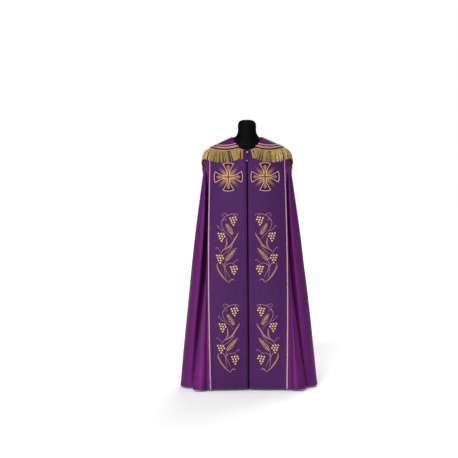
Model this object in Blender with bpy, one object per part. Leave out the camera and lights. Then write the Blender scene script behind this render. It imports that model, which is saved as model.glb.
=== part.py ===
"""A priest's cope, fastened at the breast and worn on a limbless dress form.

Metres, +Z up. The wearer faces -Y, so +X is the wearer's left. The origin is on the floor,
at the middle of the underside of the form's round base.

The body rings below say how the cloth lies from the neckline over the shoulders to the
level where it hangs free. Under that level the mantle runs straight to a folded hem, one
row of a table to each fold's ridge or valley. Everything that lies on the mantle is found
on the same rings and moved out from them.
"""
import math
from collections import namedtuple

import bmesh
import bpy
import numpy as np

# ------------------------------------------------------------------ driving sizes
HEM_HEIGHT = 0.012          # the hem clears the floor
ROUNDNESS = 0.833           # 1 gives round rings, less gives squarer ones

CLOTH = 0.0015              # wall of the lined satin
TRIM = 0.0012               # wall of a woven braid
SEAM = 0.0003               # parting between two pieces that meet
HOOD_LIFT = 0.0064          # the hood's outer face above the mantle's

GALLOON_INSET = 0.0065      # plain margin between the hood's edge and the galloon
GALLOON_WIDTH = 0.017
BRAID_INSET = 0.0305        # the hood's narrow braid, measured from its edge
BRAID_WIDTH = 0.0064

FRINGE_GAP = 0.0015         # from the hood's edge to the fringe's heading
FRINGE_HEADING = 0.005
FRINGE_LENGTH = 0.069       # of a strand, below its heading
FRINGE_SPREAD = 0.85        # how far strands lean away from the hood, against their weight
FRINGE_SCATTER = 0.05       # how unevenly they lean
FRINGE_LONGER, FRINGE_SHORTER = 0.04, 0.06      # how unevenly they are cut
FRINGE_FLARE = 0.012        # how far it stands off beside the arms
FLARE_RISE = 0.4            # the part of a strand over which it moves off so far
FRINGE_DROP = 0.014         # how much longer it is cut there
FLARE_BEARING = 104.0       # where it flares most, and over how many degrees
FLARE_SPREAD = 17.0
STRANDS_PER_SIDE = 88
SEED = 11
# A strand's lower rings: where along it, its width as a share of the space between two
# strands, its outer face above the smooth cloth, and how thick it is.
StrandRing = namedtuple("StrandRing", "part share lift thickness")
STRAND_RINGS = (
    StrandRing(0.5, 0.58, 0.0056, 0.0015),
    StrandRing(1.0, 0.36, 0.0044, 0.0012),
)

TAB_HALF_WIDTH = 0.017      # the closing tab that bridges the opening
TAB_TOP = 1.442
TAB_BOTTOM = 1.374
TAB_BOW = 0.0006            # how far its middle stands out
TAB_LIFT = 0.0020           # its outer face above the orphreys

CLASPS = (("clasp_upper", 0.0052, 1.434), ("clasp_lower", 0.0036, 1.381))   # radius, height
CLASP_THICKNESS = 0.0026
CLASP_SIDES = 16

BASE_RADIUS = 0.165
BASE_THICKNESS = 0.014
BASE_CHAMFER = 0.004
POLE_RADIUS = 0.015
ROUND_SIDES = 24
FORM_SIDES = 32

# One row to a ring of the body: half width, depth in front of and behind the centre line,
# and its height at the side, the front and the back.
Ring = namedtuple("Ring", "half_width front back z_side z_front z_back")

CLOTH_RINGS = (
    Ring(0.092, 0.086, 0.062, 1.528, 1.447, 1.535),   # neckline
    Ring(0.130, 0.092, 0.084, 1.511, 1.437, 1.524),
    Ring(0.175, 0.098, 0.105, 1.490, 1.426, 1.503),
    Ring(0.214, 0.104, 0.122, 1.471, 1.414, 1.478),
    Ring(0.243, 0.110, 0.134, 1.450, 1.400, 1.450),
    Ring(0.259, 0.116, 0.143, 1.422, 1.384, 1.418),
    Ring(0.266, 0.122, 0.150, 1.385, 1.364, 1.382),
    Ring(0.270, 0.127, 0.156, 1.340, 1.340, 1.340),   # the cloth hangs free below this
    Ring(0.417, 0.262, 0.372, HEM_HEIGHT, HEM_HEIGHT, HEM_HEIGHT),
)

FORM_RINGS = (
    Ring(0.150, 0.100, 0.100, 0.800, 0.800, 0.800),
    Ring(0.167, 0.112, 0.117, 0.900, 0.900, 0.900),
    Ring(0.151, 0.101, 0.105, 1.010, 1.010, 1.010),
    Ring(0.133, 0.093, 0.095, 1.110, 1.110, 1.110),
    Ring(0.146, 0.100, 0.108, 1.200, 1.200, 1.200),
    Ring(0.176, 0.107, 0.122, 1.290, 1.290, 1.290),
    Ring(0.206, 0.105, 0.127, 1.360, 1.350, 1.365),
    Ring(0.223, 0.102, 0.124, 1.408, 1.375, 1.405),
    Ring(0.225, 0.101, 0.120, 1.438, 1.394, 1.438),
    Ring(0.209, 0.100, 0.117, 1.467, 1.411, 1.474),   # shoulders, just under the cloth
    Ring(0.171, 0.094, 0.101, 1.487, 1.423, 1.499),
    Ring(0.126, 0.088, 0.080, 1.508, 1.434, 1.520),
    Ring(0.088, 0.082, 0.058, 1.525, 1.444, 1.531),
    Ring(0.078, 0.074, 0.055, 1.532, 1.459, 1.537),   # root of the neck
    Ring(0.066, 0.066, 0.053, 1.544, 1.490, 1.546),
    Ring(0.058, 0.060, 0.053, 1.562, 1.530, 1.562),
    Ring(0.0565, 0.057, 0.053, 1.582, 1.570, 1.582),
    Ring(0.0565, 0.0565, 0.053, 1.604, 1.604, 1.604),
    Ring(0.054, 0.054, 0.051, 1.619, 1.619, 1.619),   # rounded cap
    Ring(0.046, 0.046, 0.044, 1.631, 1.631, 1.631),
    Ring(0.030, 0.030, 0.029, 1.638, 1.638, 1.638),
    Ring(0.012, 0.012, 0.012, 1.640, 1.640, 1.640),
)

FALL_START = 0.04           # part of the free fall that keeps the body's last ring in line

# One row to a ridge or valley of the mantle, from the front edge to the centre of the
# back: its bearing round the neck in degrees (0 front, 180 back), where it meets the hem,
# how late the fold opens on its way down (1 at once, 2 mostly near the hem), how far it is
# drawn in and back above its middle, and how many columns of faces lead to the next row.
Fold = namedtuple("Fold", "name bearing hem_x hem_y late drawn_in drawn_back columns")

LEFT_FOLDS = (
    Fold("front_edge", 0.35, 0.0025, -0.240, 1.00, 0.0, 0.0, 2),
    Fold("orphrey_middle", 26.0, 0.115, -0.249, 1.00, 0.0, 0.0, 2),
    Fold("braid_inner", 54.2, 0.2245, -0.258, 1.00, 0.0, 0.0, 1),
    Fold("orphrey_outer", 55.8, 0.230, -0.259, 1.00, 0.0, 0.0, 3),
    Fold("front_fold", 62.0, 0.287, -0.283, 1.00, 0.022, 0.012, 3),
    Fold("front_fold_turn", 68.0, 0.338, -0.256, 1.00, 0.048, 0.012, 3),
    Fold("front_valley", 74.0, 0.300, -0.190, 1.00, 0.050, 0.042, 3),
    Fold("shoulder_fold", 80.0, 0.356, -0.166, 1.00, 0.036, -0.019, 2),
    Fold("shoulder_turn", 85.0, 0.402, -0.133, 1.00, 0.018, -0.026, 2),
    Fold("side_ridge", 90.0, 0.423, -0.050, 1.00, 0.0, 0.0, 3),
    Fold("side_valley", 100.0, 0.370, 0.040, 1.45, 0.0, 0.0, 3),
    Fold("outer_ridge", 108.5, 0.396, 0.132, 1.05, 0.0, 0.0, 3),
    Fold("outer_valley", 117.0, 0.343, 0.180, 1.50, 0.0, 0.0, 3),
    Fold("middle_ridge", 126.0, 0.333, 0.260, 1.05, 0.0, 0.0, 3),
    Fold("middle_valley", 136.0, 0.267, 0.279, 1.55, 0.0, 0.0, 3),
    Fold("inner_ridge", 146.0, 0.212, 0.345, 1.05, 0.0, 0.0, 3),
    Fold("inner_valley", 155.0, 0.149, 0.330, 1.60, 0.0, 0.0, 3),
    Fold("back_ridge", 165.5, 0.092, 0.371, 1.05, 0.0, 0.0, 3),
    Fold("back_valley", 178.0, 0.018, 0.354, 1.50, 0.0, 0.0, 3),
)
RIGHT_FOLDS = (
    Fold("front_edge", 0.35, 0.0025, -0.240, 1.00, 0.0, 0.0, 2),
    Fold("orphrey_middle", 26.0, 0.115, -0.249, 1.00, 0.0, 0.0, 2),
    Fold("braid_inner", 54.2, 0.2245, -0.258, 1.00, 0.0, 0.0, 1),
    Fold("orphrey_outer", 55.8, 0.230, -0.259, 1.00, 0.0, 0.0, 3),
    Fold("front_fold", 62.0, 0.284, -0.280, 1.00, 0.023, 0.012, 3),
    Fold("front_fold_turn", 68.5, 0.335, -0.260, 1.00, 0.051, 0.012, 3),
    Fold("front_valley", 75.0, 0.304, -0.186, 1.00, 0.050, 0.068, 3),
    Fold("shoulder_fold", 81.5, 0.362, -0.160, 1.00, 0.035, -0.022, 2),
    Fold("shoulder_turn", 86.0, 0.404, -0.125, 1.00, 0.018, -0.027, 2),
    Fold("side_ridge", 91.0, 0.422, -0.062, 1.00, 0.0, 0.0, 3),
    Fold("side_valley", 99.0, 0.366, 0.022, 1.55, 0.0, 0.0, 3),
    Fold("outer_ridge", 107.5, 0.398, 0.110, 1.10, 0.0, 0.0, 3),
    Fold("outer_valley", 115.5, 0.354, 0.166, 1.45, 0.0, 0.0, 3),
    Fold("middle_ridge", 124.0, 0.345, 0.246, 1.00, 0.0, 0.0, 3),
    Fold("middle_valley", 134.5, 0.282, 0.274, 1.50, 0.0, 0.0, 3),
    Fold("inner_ridge", 143.5, 0.236, 0.334, 1.10, 0.0, 0.0, 3),
    Fold("inner_valley", 153.0, 0.170, 0.332, 1.50, 0.0, 0.0, 3),
    Fold("back_ridge", 164.0, 0.108, 0.368, 1.00, 0.0, 0.0, 3),
)
ORPHREY_COLUMNS = sum(fold.columns for fold in LEFT_FOLDS[:3])
FRONT_BRAID_FROM = sum(fold.columns for fold in LEFT_FOLDS[:2])
SIDE_SEAM = "outer_ridge"             # where a side panel meets the back, behind the arm
BACK_SEAM = "back_valley"             # where the two back panels meet
SIDE_BOW = 0.010            # how far the hanging cloth bows out to each side, midway
BOW_WHOLE_FROM = 0.200      # from this far off the middle it does so in full
DRAWN_HIGH = 0.7            # below 1, folds are drawn in most above the middle of the fall
STRAIGHT_FROM = 0.200       # way down from which the orphreys' outer edges run straight
# How far down the side the rows of faces lie, then parts of the free fall.
SHOULDER_ROWS = (0.0, 0.042, 0.091, 0.135, 0.170, 0.188, 0.205, 0.240)
FREE_ROWS = (0.0, 0.06, 0.14, 0.25, 0.38, 0.53, 0.69, 0.85, 1.0)

# The hood's edge: how far down the rings it reaches at each bearing from the front.
Reach = namedtuple("Reach", "bearing down")
HOOD_EDGE = (
    Reach(9.5, 0.007),
    Reach(17.0, 0.007),
    Reach(23.5, 0.009),
    Reach(27.0, 0.022),
    Reach(29.5, 0.048),
    Reach(32.0, 0.071),
    Reach(35.0, 0.091),
    Reach(39.0, 0.108),
    Reach(44.0, 0.122),
    Reach(50.0, 0.132),
    Reach(58.0, 0.140),
    Reach(72.0, 0.148),
    Reach(90.0, 0.154),
    Reach(103.0, 0.168),
    Reach(112.5, 0.194),
    Reach(117.0, 0.228),
    Reach(120.5, 0.263),
    Reach(125.5, 0.298),
    Reach(131.5, 0.332),
    Reach(142.5, 0.394),
    Reach(152.5, 0.444),
    Reach(164.5, 0.491),
    Reach(174.0, 0.524),
    Reach(180.0, 0.544),
)
HOOD_COLUMN_SPACING = 0.030
HOOD_FIELD_ROWS = 8         # rows of faces from the neck to the hood's narrow braid
LEAST_ROW = 0.008           # least part of a column that one row may take
FINE_EDGE = 240             # steps of the fine line that distances are taken from

# colour, roughness, metallic
FINISHES = {
    "mantle_satin": ((0.130, 0.024, 0.125), 0.42, 0.0),
    "orphrey_satin": ((0.070, 0.022, 0.105), 0.48, 0.0),
    "gold_braid": ((0.560, 0.400, 0.310), 0.45, 0.1),
    "galloon": ((0.300, 0.150, 0.140), 0.45, 0.1),
    "gold_fringe": ((0.330, 0.240, 0.110), 0.45, 0.1),
    "clasp_metal": ((0.780, 0.760, 0.740), 0.25, 1.0),
    "form_cloth": ((0.010, 0.009, 0.009), 0.55, 0.0),
    "form_stand": ((0.012, 0.012, 0.013), 0.40, 0.0),
}


# ------------------------------------------------------------------ scene and finish
def clear_scene():
    for old in list(bpy.data.objects):
        bpy.data.objects.remove(old, do_unlink=True)


def finish(name):
    """The material of that name, made once."""
    material = bpy.data.materials.get(name)
    if material is None:
        colour, roughness, metallic = FINISHES[name]
        material = bpy.data.materials.new(name)
        material.use_nodes = True
        shader = material.node_tree.nodes["Principled BSDF"]
        shader.inputs["Base Color"].default_value = (*colour, 1.0)
        shader.inputs["Roughness"].default_value = roughness
        shader.inputs["Metallic"].default_value = metallic
    return material


def solid(name, points, faces, finish_name):
    """One named object from points and faces, its faces turned outwards."""
    mesh = bpy.data.meshes.new(name)
    mesh.from_pydata([tuple(p) for p in points], [], [tuple(f) for f in faces])
    work = bmesh.new()
    work.from_mesh(mesh)
    bmesh.ops.recalc_face_normals(work, faces=work.faces)
    work.to_mesh(mesh)
    work.free()
    mesh.materials.append(finish(finish_name))
    mesh.shade_smooth()
    mesh.set_sharp_from_angle(angle=math.radians(40))
    thing = bpy.data.objects.new(name, mesh)
    bpy.context.scene.collection.objects.link(thing)
    return thing


# ------------------------------------------------------------------ curves and rings
def through(knots, values, places):
    """A smooth curve through every row of values, read at places along the knots."""
    knots = np.asarray(knots, float)
    values = np.asarray(values, float)
    places = np.asarray(places, float)
    slopes = np.gradient(values, knots, axis=0)
    low = np.clip(np.searchsorted(knots, places, side="right") - 1, 0, len(knots) - 2)
    column = (-1,) + (1,) * (values.ndim - 1)
    span = (knots[low + 1] - knots[low]).reshape(column)
    part = ((places - knots[low]) / (knots[low + 1] - knots[low])).reshape(column)
    square, cube = part**2, part**3
    return (
        (2 * cube - 3 * square + 1) * values[low]
        + (cube - 2 * square + part) * span * slopes[low]
        + (3 * square - 2 * cube) * values[low + 1]
        + (cube - square) * span * slopes[low + 1]
    )


def unit(vectors):
    return vectors / np.linalg.norm(vectors, axis=-1, keepdims=True)


def lengths_along(points):
    """Running length at each point of a line."""
    steps = np.linalg.norm(np.diff(points, axis=0), axis=1)
    return np.concatenate([[0.0], np.cumsum(steps)])


def ring_points(rings, bearing):
    """Points of rings (..., 6) at bearings (...): 0 in front, positive to +X."""
    half_width, front, back, z_side, z_front, z_back = np.moveaxis(np.asarray(rings, float), -1, 0)
    across, ahead = np.sin(bearing), np.cos(bearing)
    x = half_width * np.sign(across) * np.abs(across) ** ROUNDNESS
    y = -np.where(ahead > 0, front, back) * np.sign(ahead) * np.abs(ahead) ** ROUNDNESS
    z_middle = np.where(ahead > 0, z_front, z_back)
    return np.stack([x, y, z_side + (z_middle - z_side) * ahead**2], axis=-1)


def rings_with_straight_fall():
    """The cloth's rings, with one more just below the last body ring to start the fall straight."""
    body, last, hem = CLOTH_RINGS[:-1], np.array(CLOTH_RINGS[-2]), np.array(CLOTH_RINGS[-1])
    return np.vstack([body, last + (hem - last) * FALL_START, hem])


RINGS = rings_with_straight_fall()
RING_DOWN = lengths_along(RINGS[:, (0, 3)])
FREE_FALL = RING_DOWN[-3]


def on_cloth(bearing, down):
    """Smooth surface of the unfolded cope: bearing in radians, way down from the neck."""
    bearing, down = np.broadcast_arrays(np.asarray(bearing, float), np.asarray(down, float))
    rings = through(RING_DOWN, RINGS, down.ravel()).reshape(down.shape + (6,))
    return ring_points(rings, bearing)


def cloth_slopes(bearing, down, reach=0.004):
    """How the smooth surface moves with bearing and with way down, and its outward normal."""
    turn = reach / 0.2
    by_bearing = (on_cloth(bearing + turn, down) - on_cloth(bearing - turn, down)) / (2 * turn)
    low = np.maximum(down - reach, 0.0)
    by_down = (on_cloth(bearing, down + reach) - on_cloth(bearing, low)) / (
        (down + reach - low)[..., None]
    )
    return by_bearing, by_down, unit(np.cross(by_down, by_bearing))


def walk(bearing, down, direction, length, steps=4):
    """Go a length over the smooth cloth, keeping to a direction in space."""
    for _ in range(steps):
        by_bearing, by_down, normal = cloth_slopes(bearing, down)
        flat = unit(direction - np.sum(direction * normal, -1, keepdims=True) * normal)
        flat *= length / steps
        aa = np.sum(by_bearing * by_bearing, -1)
        ad = np.sum(by_bearing * by_down, -1)
        dd = np.sum(by_down * by_down, -1)
        fa = np.sum(flat * by_bearing, -1)
        fd = np.sum(flat * by_down, -1)
        part = aa * dd - ad * ad
        bearing = bearing + (fa * dd - fd * ad) / part
        down = np.maximum(down + (fd * aa - fa * ad) / part, 0.0)
    return bearing, down


# ------------------------------------------------------------------ walls of cloth
def grid_normals(grid):
    """Outward normals of a grid whose rows run down and whose columns run on from front to +X."""
    return unit(np.cross(np.gradient(grid, axis=0), np.gradient(grid, axis=1)))


def wall(name, outer, normals, lift, thickness, finish_name):
    """A closed sheet: the grid moved out by lift, and a second face thickness behind it."""
    rows, columns = outer.shape[:2]
    front = outer + normals * lift
    back = outer + normals * (lift - thickness)
    points = np.concatenate([front.reshape(-1, 3), back.reshape(-1, 3)])
    count = rows * columns

    # Both faces are split along the same diagonal, so that layers stay parallel.
    faces = []
    for row in range(rows - 1):
        for column in range(columns - 1):
            first = row * columns + column
            for corners in ((0, 1, columns + 1), (0, columns + 1, columns)):
                faces.append([first + corner for corner in corners])
                faces.append([first + corner + count for corner in reversed(corners)])
    around = (
        list(range(columns))
        + [row * columns + columns - 1 for row in range(1, rows)]
        + [(rows - 1) * columns + column for column in range(columns - 2, -1, -1)]
        + [row * columns for row in range(rows - 2, 0, -1)]
    )
    for here, there in zip(around, around[1:] + around[:1]):
        faces.append((there, here, here + count, there + count))
    return solid(name, points, faces, finish_name)


def part_edge(grid, column, inner_column, distance):
    """Draw one end column of a grid in towards its neighbour by a distance."""
    grid[:, column] += unit(grid[:, inner_column] - grid[:, column]) * distance


# ------------------------------------------------------------------ the mantle
def row_bearings(bearings, down):
    """Bearings of the fold lines on one shoulder row, turned so that the orphreys run straight."""
    outer = next(fold for fold in LEFT_FOLDS if fold.name == "orphrey_outer")
    half_width = through(RING_DOWN, RINGS, np.array([max(down, STRAIGHT_FROM)]))[0, 0]
    edge = math.degrees(math.asin((outer.hem_x / half_width) ** (1 / ROUNDNESS)))
    turned_to = np.interp(np.abs(bearings), (0, outer.bearing, 90, 180), (0, edge, 90, 180))
    return np.radians(turned_to) * np.sign(bearings)


def fold_lines():
    """Every fold's line from neck to hem, and how many columns of faces follow each."""
    folds = [(fold, 1) for fold in LEFT_FOLDS] + [(fold, -1) for fold in reversed(RIGHT_FOLDS)]
    bearings = np.array([fold.bearing * side for fold, side in folds])
    hem = np.array([(fold.hem_x * side, fold.hem_y) for fold, side in folds])
    late = np.array([fold.late for fold, _ in folds])
    drawn = np.array([(-fold.drawn_in * side, fold.drawn_back) for fold, side in folds])
    counts = [fold.columns for fold in LEFT_FOLDS] + [
        fold.columns for fold in reversed(RIGHT_FOLDS[:-1])
    ]
    top = on_cloth(row_bearings(bearings, FREE_FALL), FREE_FALL)
    rows = [on_cloth(row_bearings(bearings, down), down) for down in SHOULDER_ROWS]
    for part in FREE_ROWS:
        opened = (part**late)[:, None]
        flat = top[:, :2] + (hem - top[:, :2]) * opened
        flat += drawn * math.sin(math.pi * part**DRAWN_HIGH)
        bow = SIDE_BOW * math.sin(math.pi * part)
        flat[:, 0] += bow * np.clip(flat[:, 0] / BOW_WHOLE_FROM, -1.0, 1.0)
        height = top[:, 2] + (HEM_HEIGHT - top[:, 2]) * part
        rows.append(np.column_stack([flat, height]))
    return np.stack(rows), counts


def mantle_grid():
    """The folded cope as a grid of points, rows from neck to hem, from front edge to front edge."""
    lines, counts = fold_lines()
    knots = lengths_along(lines[-1])
    places = [knots[0]]
    for index, count in enumerate(counts):
        places += list(np.linspace(knots[index], knots[index + 1], count + 1)[1:])
    grid = through(knots, np.moveaxis(lines, 1, 0), np.array(places))
    return np.moveaxis(grid, 0, 1)


def column_of(folds, name):
    """Number of the column, counted from the front edge, that a fold's line lies on."""
    total = 0
    for fold in folds:
        if fold.name == name:
            return total
        total += fold.columns
    raise ValueError(name)


def piece_of(grid, normals, first, last):
    """Columns first to last, drawn in at both ends so that neighbours stay parted."""
    part = grid[:, first : last + 1].copy()
    part_edge(part, 0, 1, SEAM / 2)
    part_edge(part, -1, -2, SEAM / 2)
    return part, normals[:, first : last + 1]


def make_mantle():
    grid = mantle_grid()
    normals = grid_normals(grid)
    last = grid.shape[1] - 1
    left_seam = column_of(LEFT_FOLDS, SIDE_SEAM)
    back_seam = column_of(LEFT_FOLDS, BACK_SEAM)
    right_seam = last - column_of(RIGHT_FOLDS, SIDE_SEAM)
    pieces = (
        ("orphrey_left", 0, ORPHREY_COLUMNS, "orphrey_satin"),
        ("mantle_side_left", ORPHREY_COLUMNS, left_seam, "mantle_satin"),
        ("mantle_back_left", left_seam, back_seam, "mantle_satin"),
        ("mantle_back_right", back_seam, right_seam, "mantle_satin"),
        ("mantle_side_right", right_seam, last - ORPHREY_COLUMNS, "mantle_satin"),
        ("orphrey_right", last - ORPHREY_COLUMNS, last, "orphrey_satin"),
    )
    for name, first, final, finish_name in pieces:
        part, part_normals = piece_of(grid, normals, first, final)
        wall(name, part, part_normals, 0.0, CLOTH, finish_name)
    braids = (
        ("orphrey_braid_left", FRONT_BRAID_FROM, ORPHREY_COLUMNS),
        ("orphrey_braid_right", last - ORPHREY_COLUMNS, last - FRONT_BRAID_FROM),
    )
    for name, first, final in braids:
        part, part_normals = piece_of(grid, normals, first, final)
        wall(name, part, part_normals, SEAM + TRIM, TRIM, "gold_braid")


# ------------------------------------------------------------------ hood and its bands
def hood_edge(count):
    """The hood's edge on one side, as count + 1 evenly spaced bearings and ways down."""
    table = np.array(HOOD_EDGE)
    table[:, 0] = np.radians(table[:, 0])
    knots = lengths_along(on_cloth(table[:, 0], table[:, 1]))
    fine = through(knots, table, np.linspace(0.0, knots[-1], 2 * FINE_EDGE))
    run = lengths_along(on_cloth(fine[:, 0], fine[:, 1]))
    places = np.linspace(0.0, run[-1], count + 1)
    return np.interp(places, run, fine[:, 0]), np.interp(places, run, fine[:, 1]), run[-1]


def distance_to_line(points, line):
    """Shortest distance from each point to a line of straight pieces."""
    start, way = line[:-1], np.diff(line, axis=0)
    offset = points[..., None, :] - start
    part = np.clip(np.sum(offset * way, -1) / np.sum(way * way, -1), 0.0, 1.0)
    return np.min(np.linalg.norm(offset - part[..., None] * way, axis=-1), axis=-1)


def hood_row(bearing, edge_down, edge_line, inset):
    """Way down to the line that runs an inset inside the edge; 0 where it has left the hood."""
    low, high = np.zeros_like(edge_down), edge_down.copy()
    for _ in range(26):
        middle = (low + high) / 2
        outside = distance_to_line(on_cloth(bearing, middle), edge_line) < inset
        high = np.where(outside, middle, high)
        low = np.where(outside, low, middle)
    return low


def both_sides(bearing, *values):
    """Carry one side's columns on round the back to the other side's front end."""
    whole = [np.concatenate([bearing, 2 * math.pi - bearing[-2::-1]])]
    for value in values:
        whole.append(np.concatenate([value, value[..., -2::-1]], axis=-1))
    return whole


def make_hood():
    _, _, run = hood_edge(1)
    bearing, edge_down, _ = hood_edge(round(run / HOOD_COLUMN_SPACING))
    fine_bearing, fine_down, _ = hood_edge(FINE_EDGE)
    edge_line = on_cloth(fine_bearing, fine_down)
    insets = (
        BRAID_INSET + BRAID_WIDTH,
        BRAID_INSET,
        GALLOON_INSET + GALLOON_WIDTH,
        GALLOON_INSET,
    )
    lines = np.stack([hood_row(bearing, edge_down, edge_line, inset) for inset in insets])
    kept = np.stack(
        [edge_down * LEAST_ROW * (HOOD_FIELD_ROWS + index) for index in range(len(insets))]
    )
    whole_band = lines[[0, 2]] > kept[[0, 2]]
    lines = np.maximum(lines, kept)
    field = np.stack([lines[0] * row / HOOD_FIELD_ROWS for row in range(HOOD_FIELD_ROWS)])
    downs = np.concatenate([field, lines, edge_down[None]])
    bearing, downs, whole_band = both_sides(bearing, downs, whole_band)

    grid = on_cloth(bearing, downs)
    normals = cloth_slopes(np.broadcast_to(bearing, downs.shape), downs)[2]
    wall("hood", grid, normals, HOOD_LIFT, CLOTH, "mantle_satin")
    for band, name, finish_name in ((0, "hood_braid", "gold_braid"), (1, "hood_galloon", "galloon")):
        inside = np.flatnonzero(whole_band[band])
        columns = slice(inside[0], inside[-1] + 1)
        rows = slice(HOOD_FIELD_ROWS + 2 * band, HOOD_FIELD_ROWS + 2 * band + 2)
        wall(
            name,
            grid[rows, columns],
            normals[rows, columns],
            HOOD_LIFT + SEAM + TRIM,
            TRIM,
            finish_name,
        )


# ------------------------------------------------------------------ the fringe
def lifted(bearing, down, lift):
    """Points a lift above the smooth cloth."""
    _, _, normal = cloth_slopes(bearing, down)
    return on_cloth(bearing, down) + normal * lift


def fringe_heading(top, bottom):
    """The narrow strip: rows of points top outer, top inner, low outer, low inner; its faces."""
    inner_lift = HOOD_LIFT - CLOTH
    points = [lifted(*place, lift) for place in (top, bottom) for lift in (HOOD_LIFT, inner_lift)]
    columns = len(top[0])
    top_out, top_in, low_out, low_in = (row * columns for row in range(4))
    faces = []
    for here in range(columns - 1):
        after = here + 1
        faces.append((top_out + here, top_out + after, low_out + after, low_out + here))
        faces.append((top_in + after, top_in + here, low_in + here, low_in + after))
        faces.append((top_in + here, top_in + after, top_out + after, top_out + here))
    for end in (0, columns - 1):
        faces.append((top_out + end, low_out + end, low_in + end, top_in + end))
    roots = [
        (low_out + here, low_out + here + 1, low_in + here + 1, low_in + here)
        for here in range(columns - 1)
    ]
    return points, faces, np.array(roots)


def beside_arm(bearing):
    """1 where the fringe flares most, falling to 0 in front and behind."""
    towards_back = np.degrees(math.pi - np.abs(math.pi - bearing))
    return np.exp(-(((towards_back - FLARE_BEARING) / FLARE_SPREAD) ** 2))


def strand_ring(root, pull, length, ring, run_on):
    """Four corners of every strand at one place along it."""
    place = walk(*root, pull, length * ring.part, 5)
    spot = on_cloth(*place)
    _, _, normal = cloth_slopes(*place)
    side = unit(np.cross(pull - np.sum(pull * normal, -1, keepdims=True) * normal, normal))
    side *= np.sign(np.sum(side * run_on, -1, keepdims=True))
    reach = side * (np.linalg.norm(run_on, axis=1) * ring.share / 2)[:, None]
    off = FRINGE_FLARE * math.sin(math.pi / 2 * min(ring.part / FLARE_RISE, 1.0))
    outer = (ring.lift + off * beside_arm(root[0]))[:, None] * normal
    inner = outer - ring.thickness * normal
    return [spot - reach + outer, spot + reach + outer, spot + reach + inner, spot - reach + inner]


def make_fringe():
    """A narrow heading round the hood's edge, with a tapering strand under each part of it."""
    bearing, down, _ = hood_edge(STRANDS_PER_SIDE)
    bearing, down = both_sides(bearing, down)
    line = on_cloth(bearing, down)
    _, _, normal = cloth_slopes(bearing, down)
    outward = unit(np.cross(normal, np.gradient(line, axis=0)))
    outward *= np.sign(np.sum(outward * (line - line.mean(axis=0)), -1).mean())
    top = walk(bearing, down, outward, FRINGE_GAP, 1)
    bottom = walk(bearing, down, outward, FRINGE_GAP + FRINGE_HEADING, 2)
    points, faces, corners_above = fringe_heading(top, bottom)

    chance = np.random.default_rng(SEED)
    count = len(bearing) - 1
    root = tuple((value[1:] + value[:-1]) / 2 for value in bottom)
    pull = (outward[1:] + outward[:-1]) / 2 * FRINGE_SPREAD + np.array([0.0, 0.0, -1.0])
    pull += chance.normal(0.0, FRINGE_SCATTER, (count, 3))
    length = FRINGE_LENGTH * (1 + chance.uniform(-FRINGE_SHORTER, FRINGE_LONGER, count))
    length = (length + FRINGE_DROP * beside_arm(root[0]))[:, None]
    run_on = np.diff(on_cloth(*bottom), axis=0)
    for ring in STRAND_RINGS:
        start = sum(len(row) for row in points)
        points += strand_ring(root, pull, length, ring, run_on)
        corners = start + np.arange(count)[:, None] + np.arange(4) * count
        for above, below in zip(corners_above, corners):
            for corner in range(4):
                after = (corner + 1) % 4
                faces.append((above[corner], above[after], below[after], below[corner]))
        corners_above = corners
    faces += [tuple(corners) for corners in corners_above]
    solid("fringe", np.concatenate(points), faces, "gold_fringe")


# ------------------------------------------------------------------ closing tab and clasps
def front_depth(height):
    """Y of the opening's edge at a height."""
    downs = np.linspace(0.0, FREE_FALL, 60)
    line = on_cloth(0.0, downs)
    return np.interp(-np.asarray(height), -line[:, 2], line[:, 1])


def make_tab():
    heights = np.linspace(TAB_TOP, TAB_BOTTOM, 5)
    across = np.linspace(-TAB_HALF_WIDTH, TAB_HALF_WIDTH, 3)
    grid = np.array([[(x, front_depth(z), z) for x in across] for z in heights])
    grid[1:-1, :, 1] -= TAB_BOW
    wall("morse_tab", grid, grid_normals(grid), TAB_LIFT, CLOTH, "mantle_satin")


def stacked(name, rings, finish_name):
    """A closed solid from rings of points, lowest first, with a fan of faces over each end."""
    count, sides = rings.shape[:2]
    ends = rings[[0, -1]].mean(axis=1)
    points = np.concatenate([ends[:1], rings.reshape(-1, 3), ends[1:]])
    top = 1 + (count - 1) * sides
    faces = []
    for step in range(sides):
        after = (step + 1) % sides
        faces.append((0, 1 + after, 1 + step))
        faces.append((top + step, top + after, len(points) - 1))
        for row in range(count - 1):
            low, high = 1 + row * sides, 1 + (row + 1) * sides
            faces.append((low + step, low + after, high + after, high + step))
    return solid(name, points, faces, finish_name)


def turned(name, profile, sides, finish_name):
    """A closed solid turned round the vertical, from rows of (radius, height)."""
    angle = np.linspace(0.0, 2 * math.pi, sides, endpoint=False)
    circle = np.stack([np.cos(angle), np.sin(angle)], axis=-1)
    rings = np.array([np.column_stack([circle * r, np.full(sides, z)]) for r, z in profile])
    return stacked(name, rings, finish_name)


def make_clasps():
    """Two small round fastenings on the tab, their faces to the front."""
    for name, radius, height in CLASPS:
        profile = (
            (0.9 * radius, 0.0),
            (radius, 0.25 * CLASP_THICKNESS),
            (radius, 0.55 * CLASP_THICKNESS),
            (0.7 * radius, CLASP_THICKNESS),
        )
        clasp = turned(name, profile, CLASP_SIDES, "clasp_metal")
        drop = front_depth(height - TAB_HALF_WIDTH) - front_depth(height + TAB_HALF_WIDTH)
        lean = math.atan2(drop, 2 * TAB_HALF_WIDTH)
        stand_off = TAB_LIFT + TAB_BOW + 2 * SEAM
        clasp.rotation_euler = (math.pi / 2 + lean, 0.0, 0.0)
        clasp.location = (0.0, float(front_depth(height)) - stand_off, height)


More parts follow.
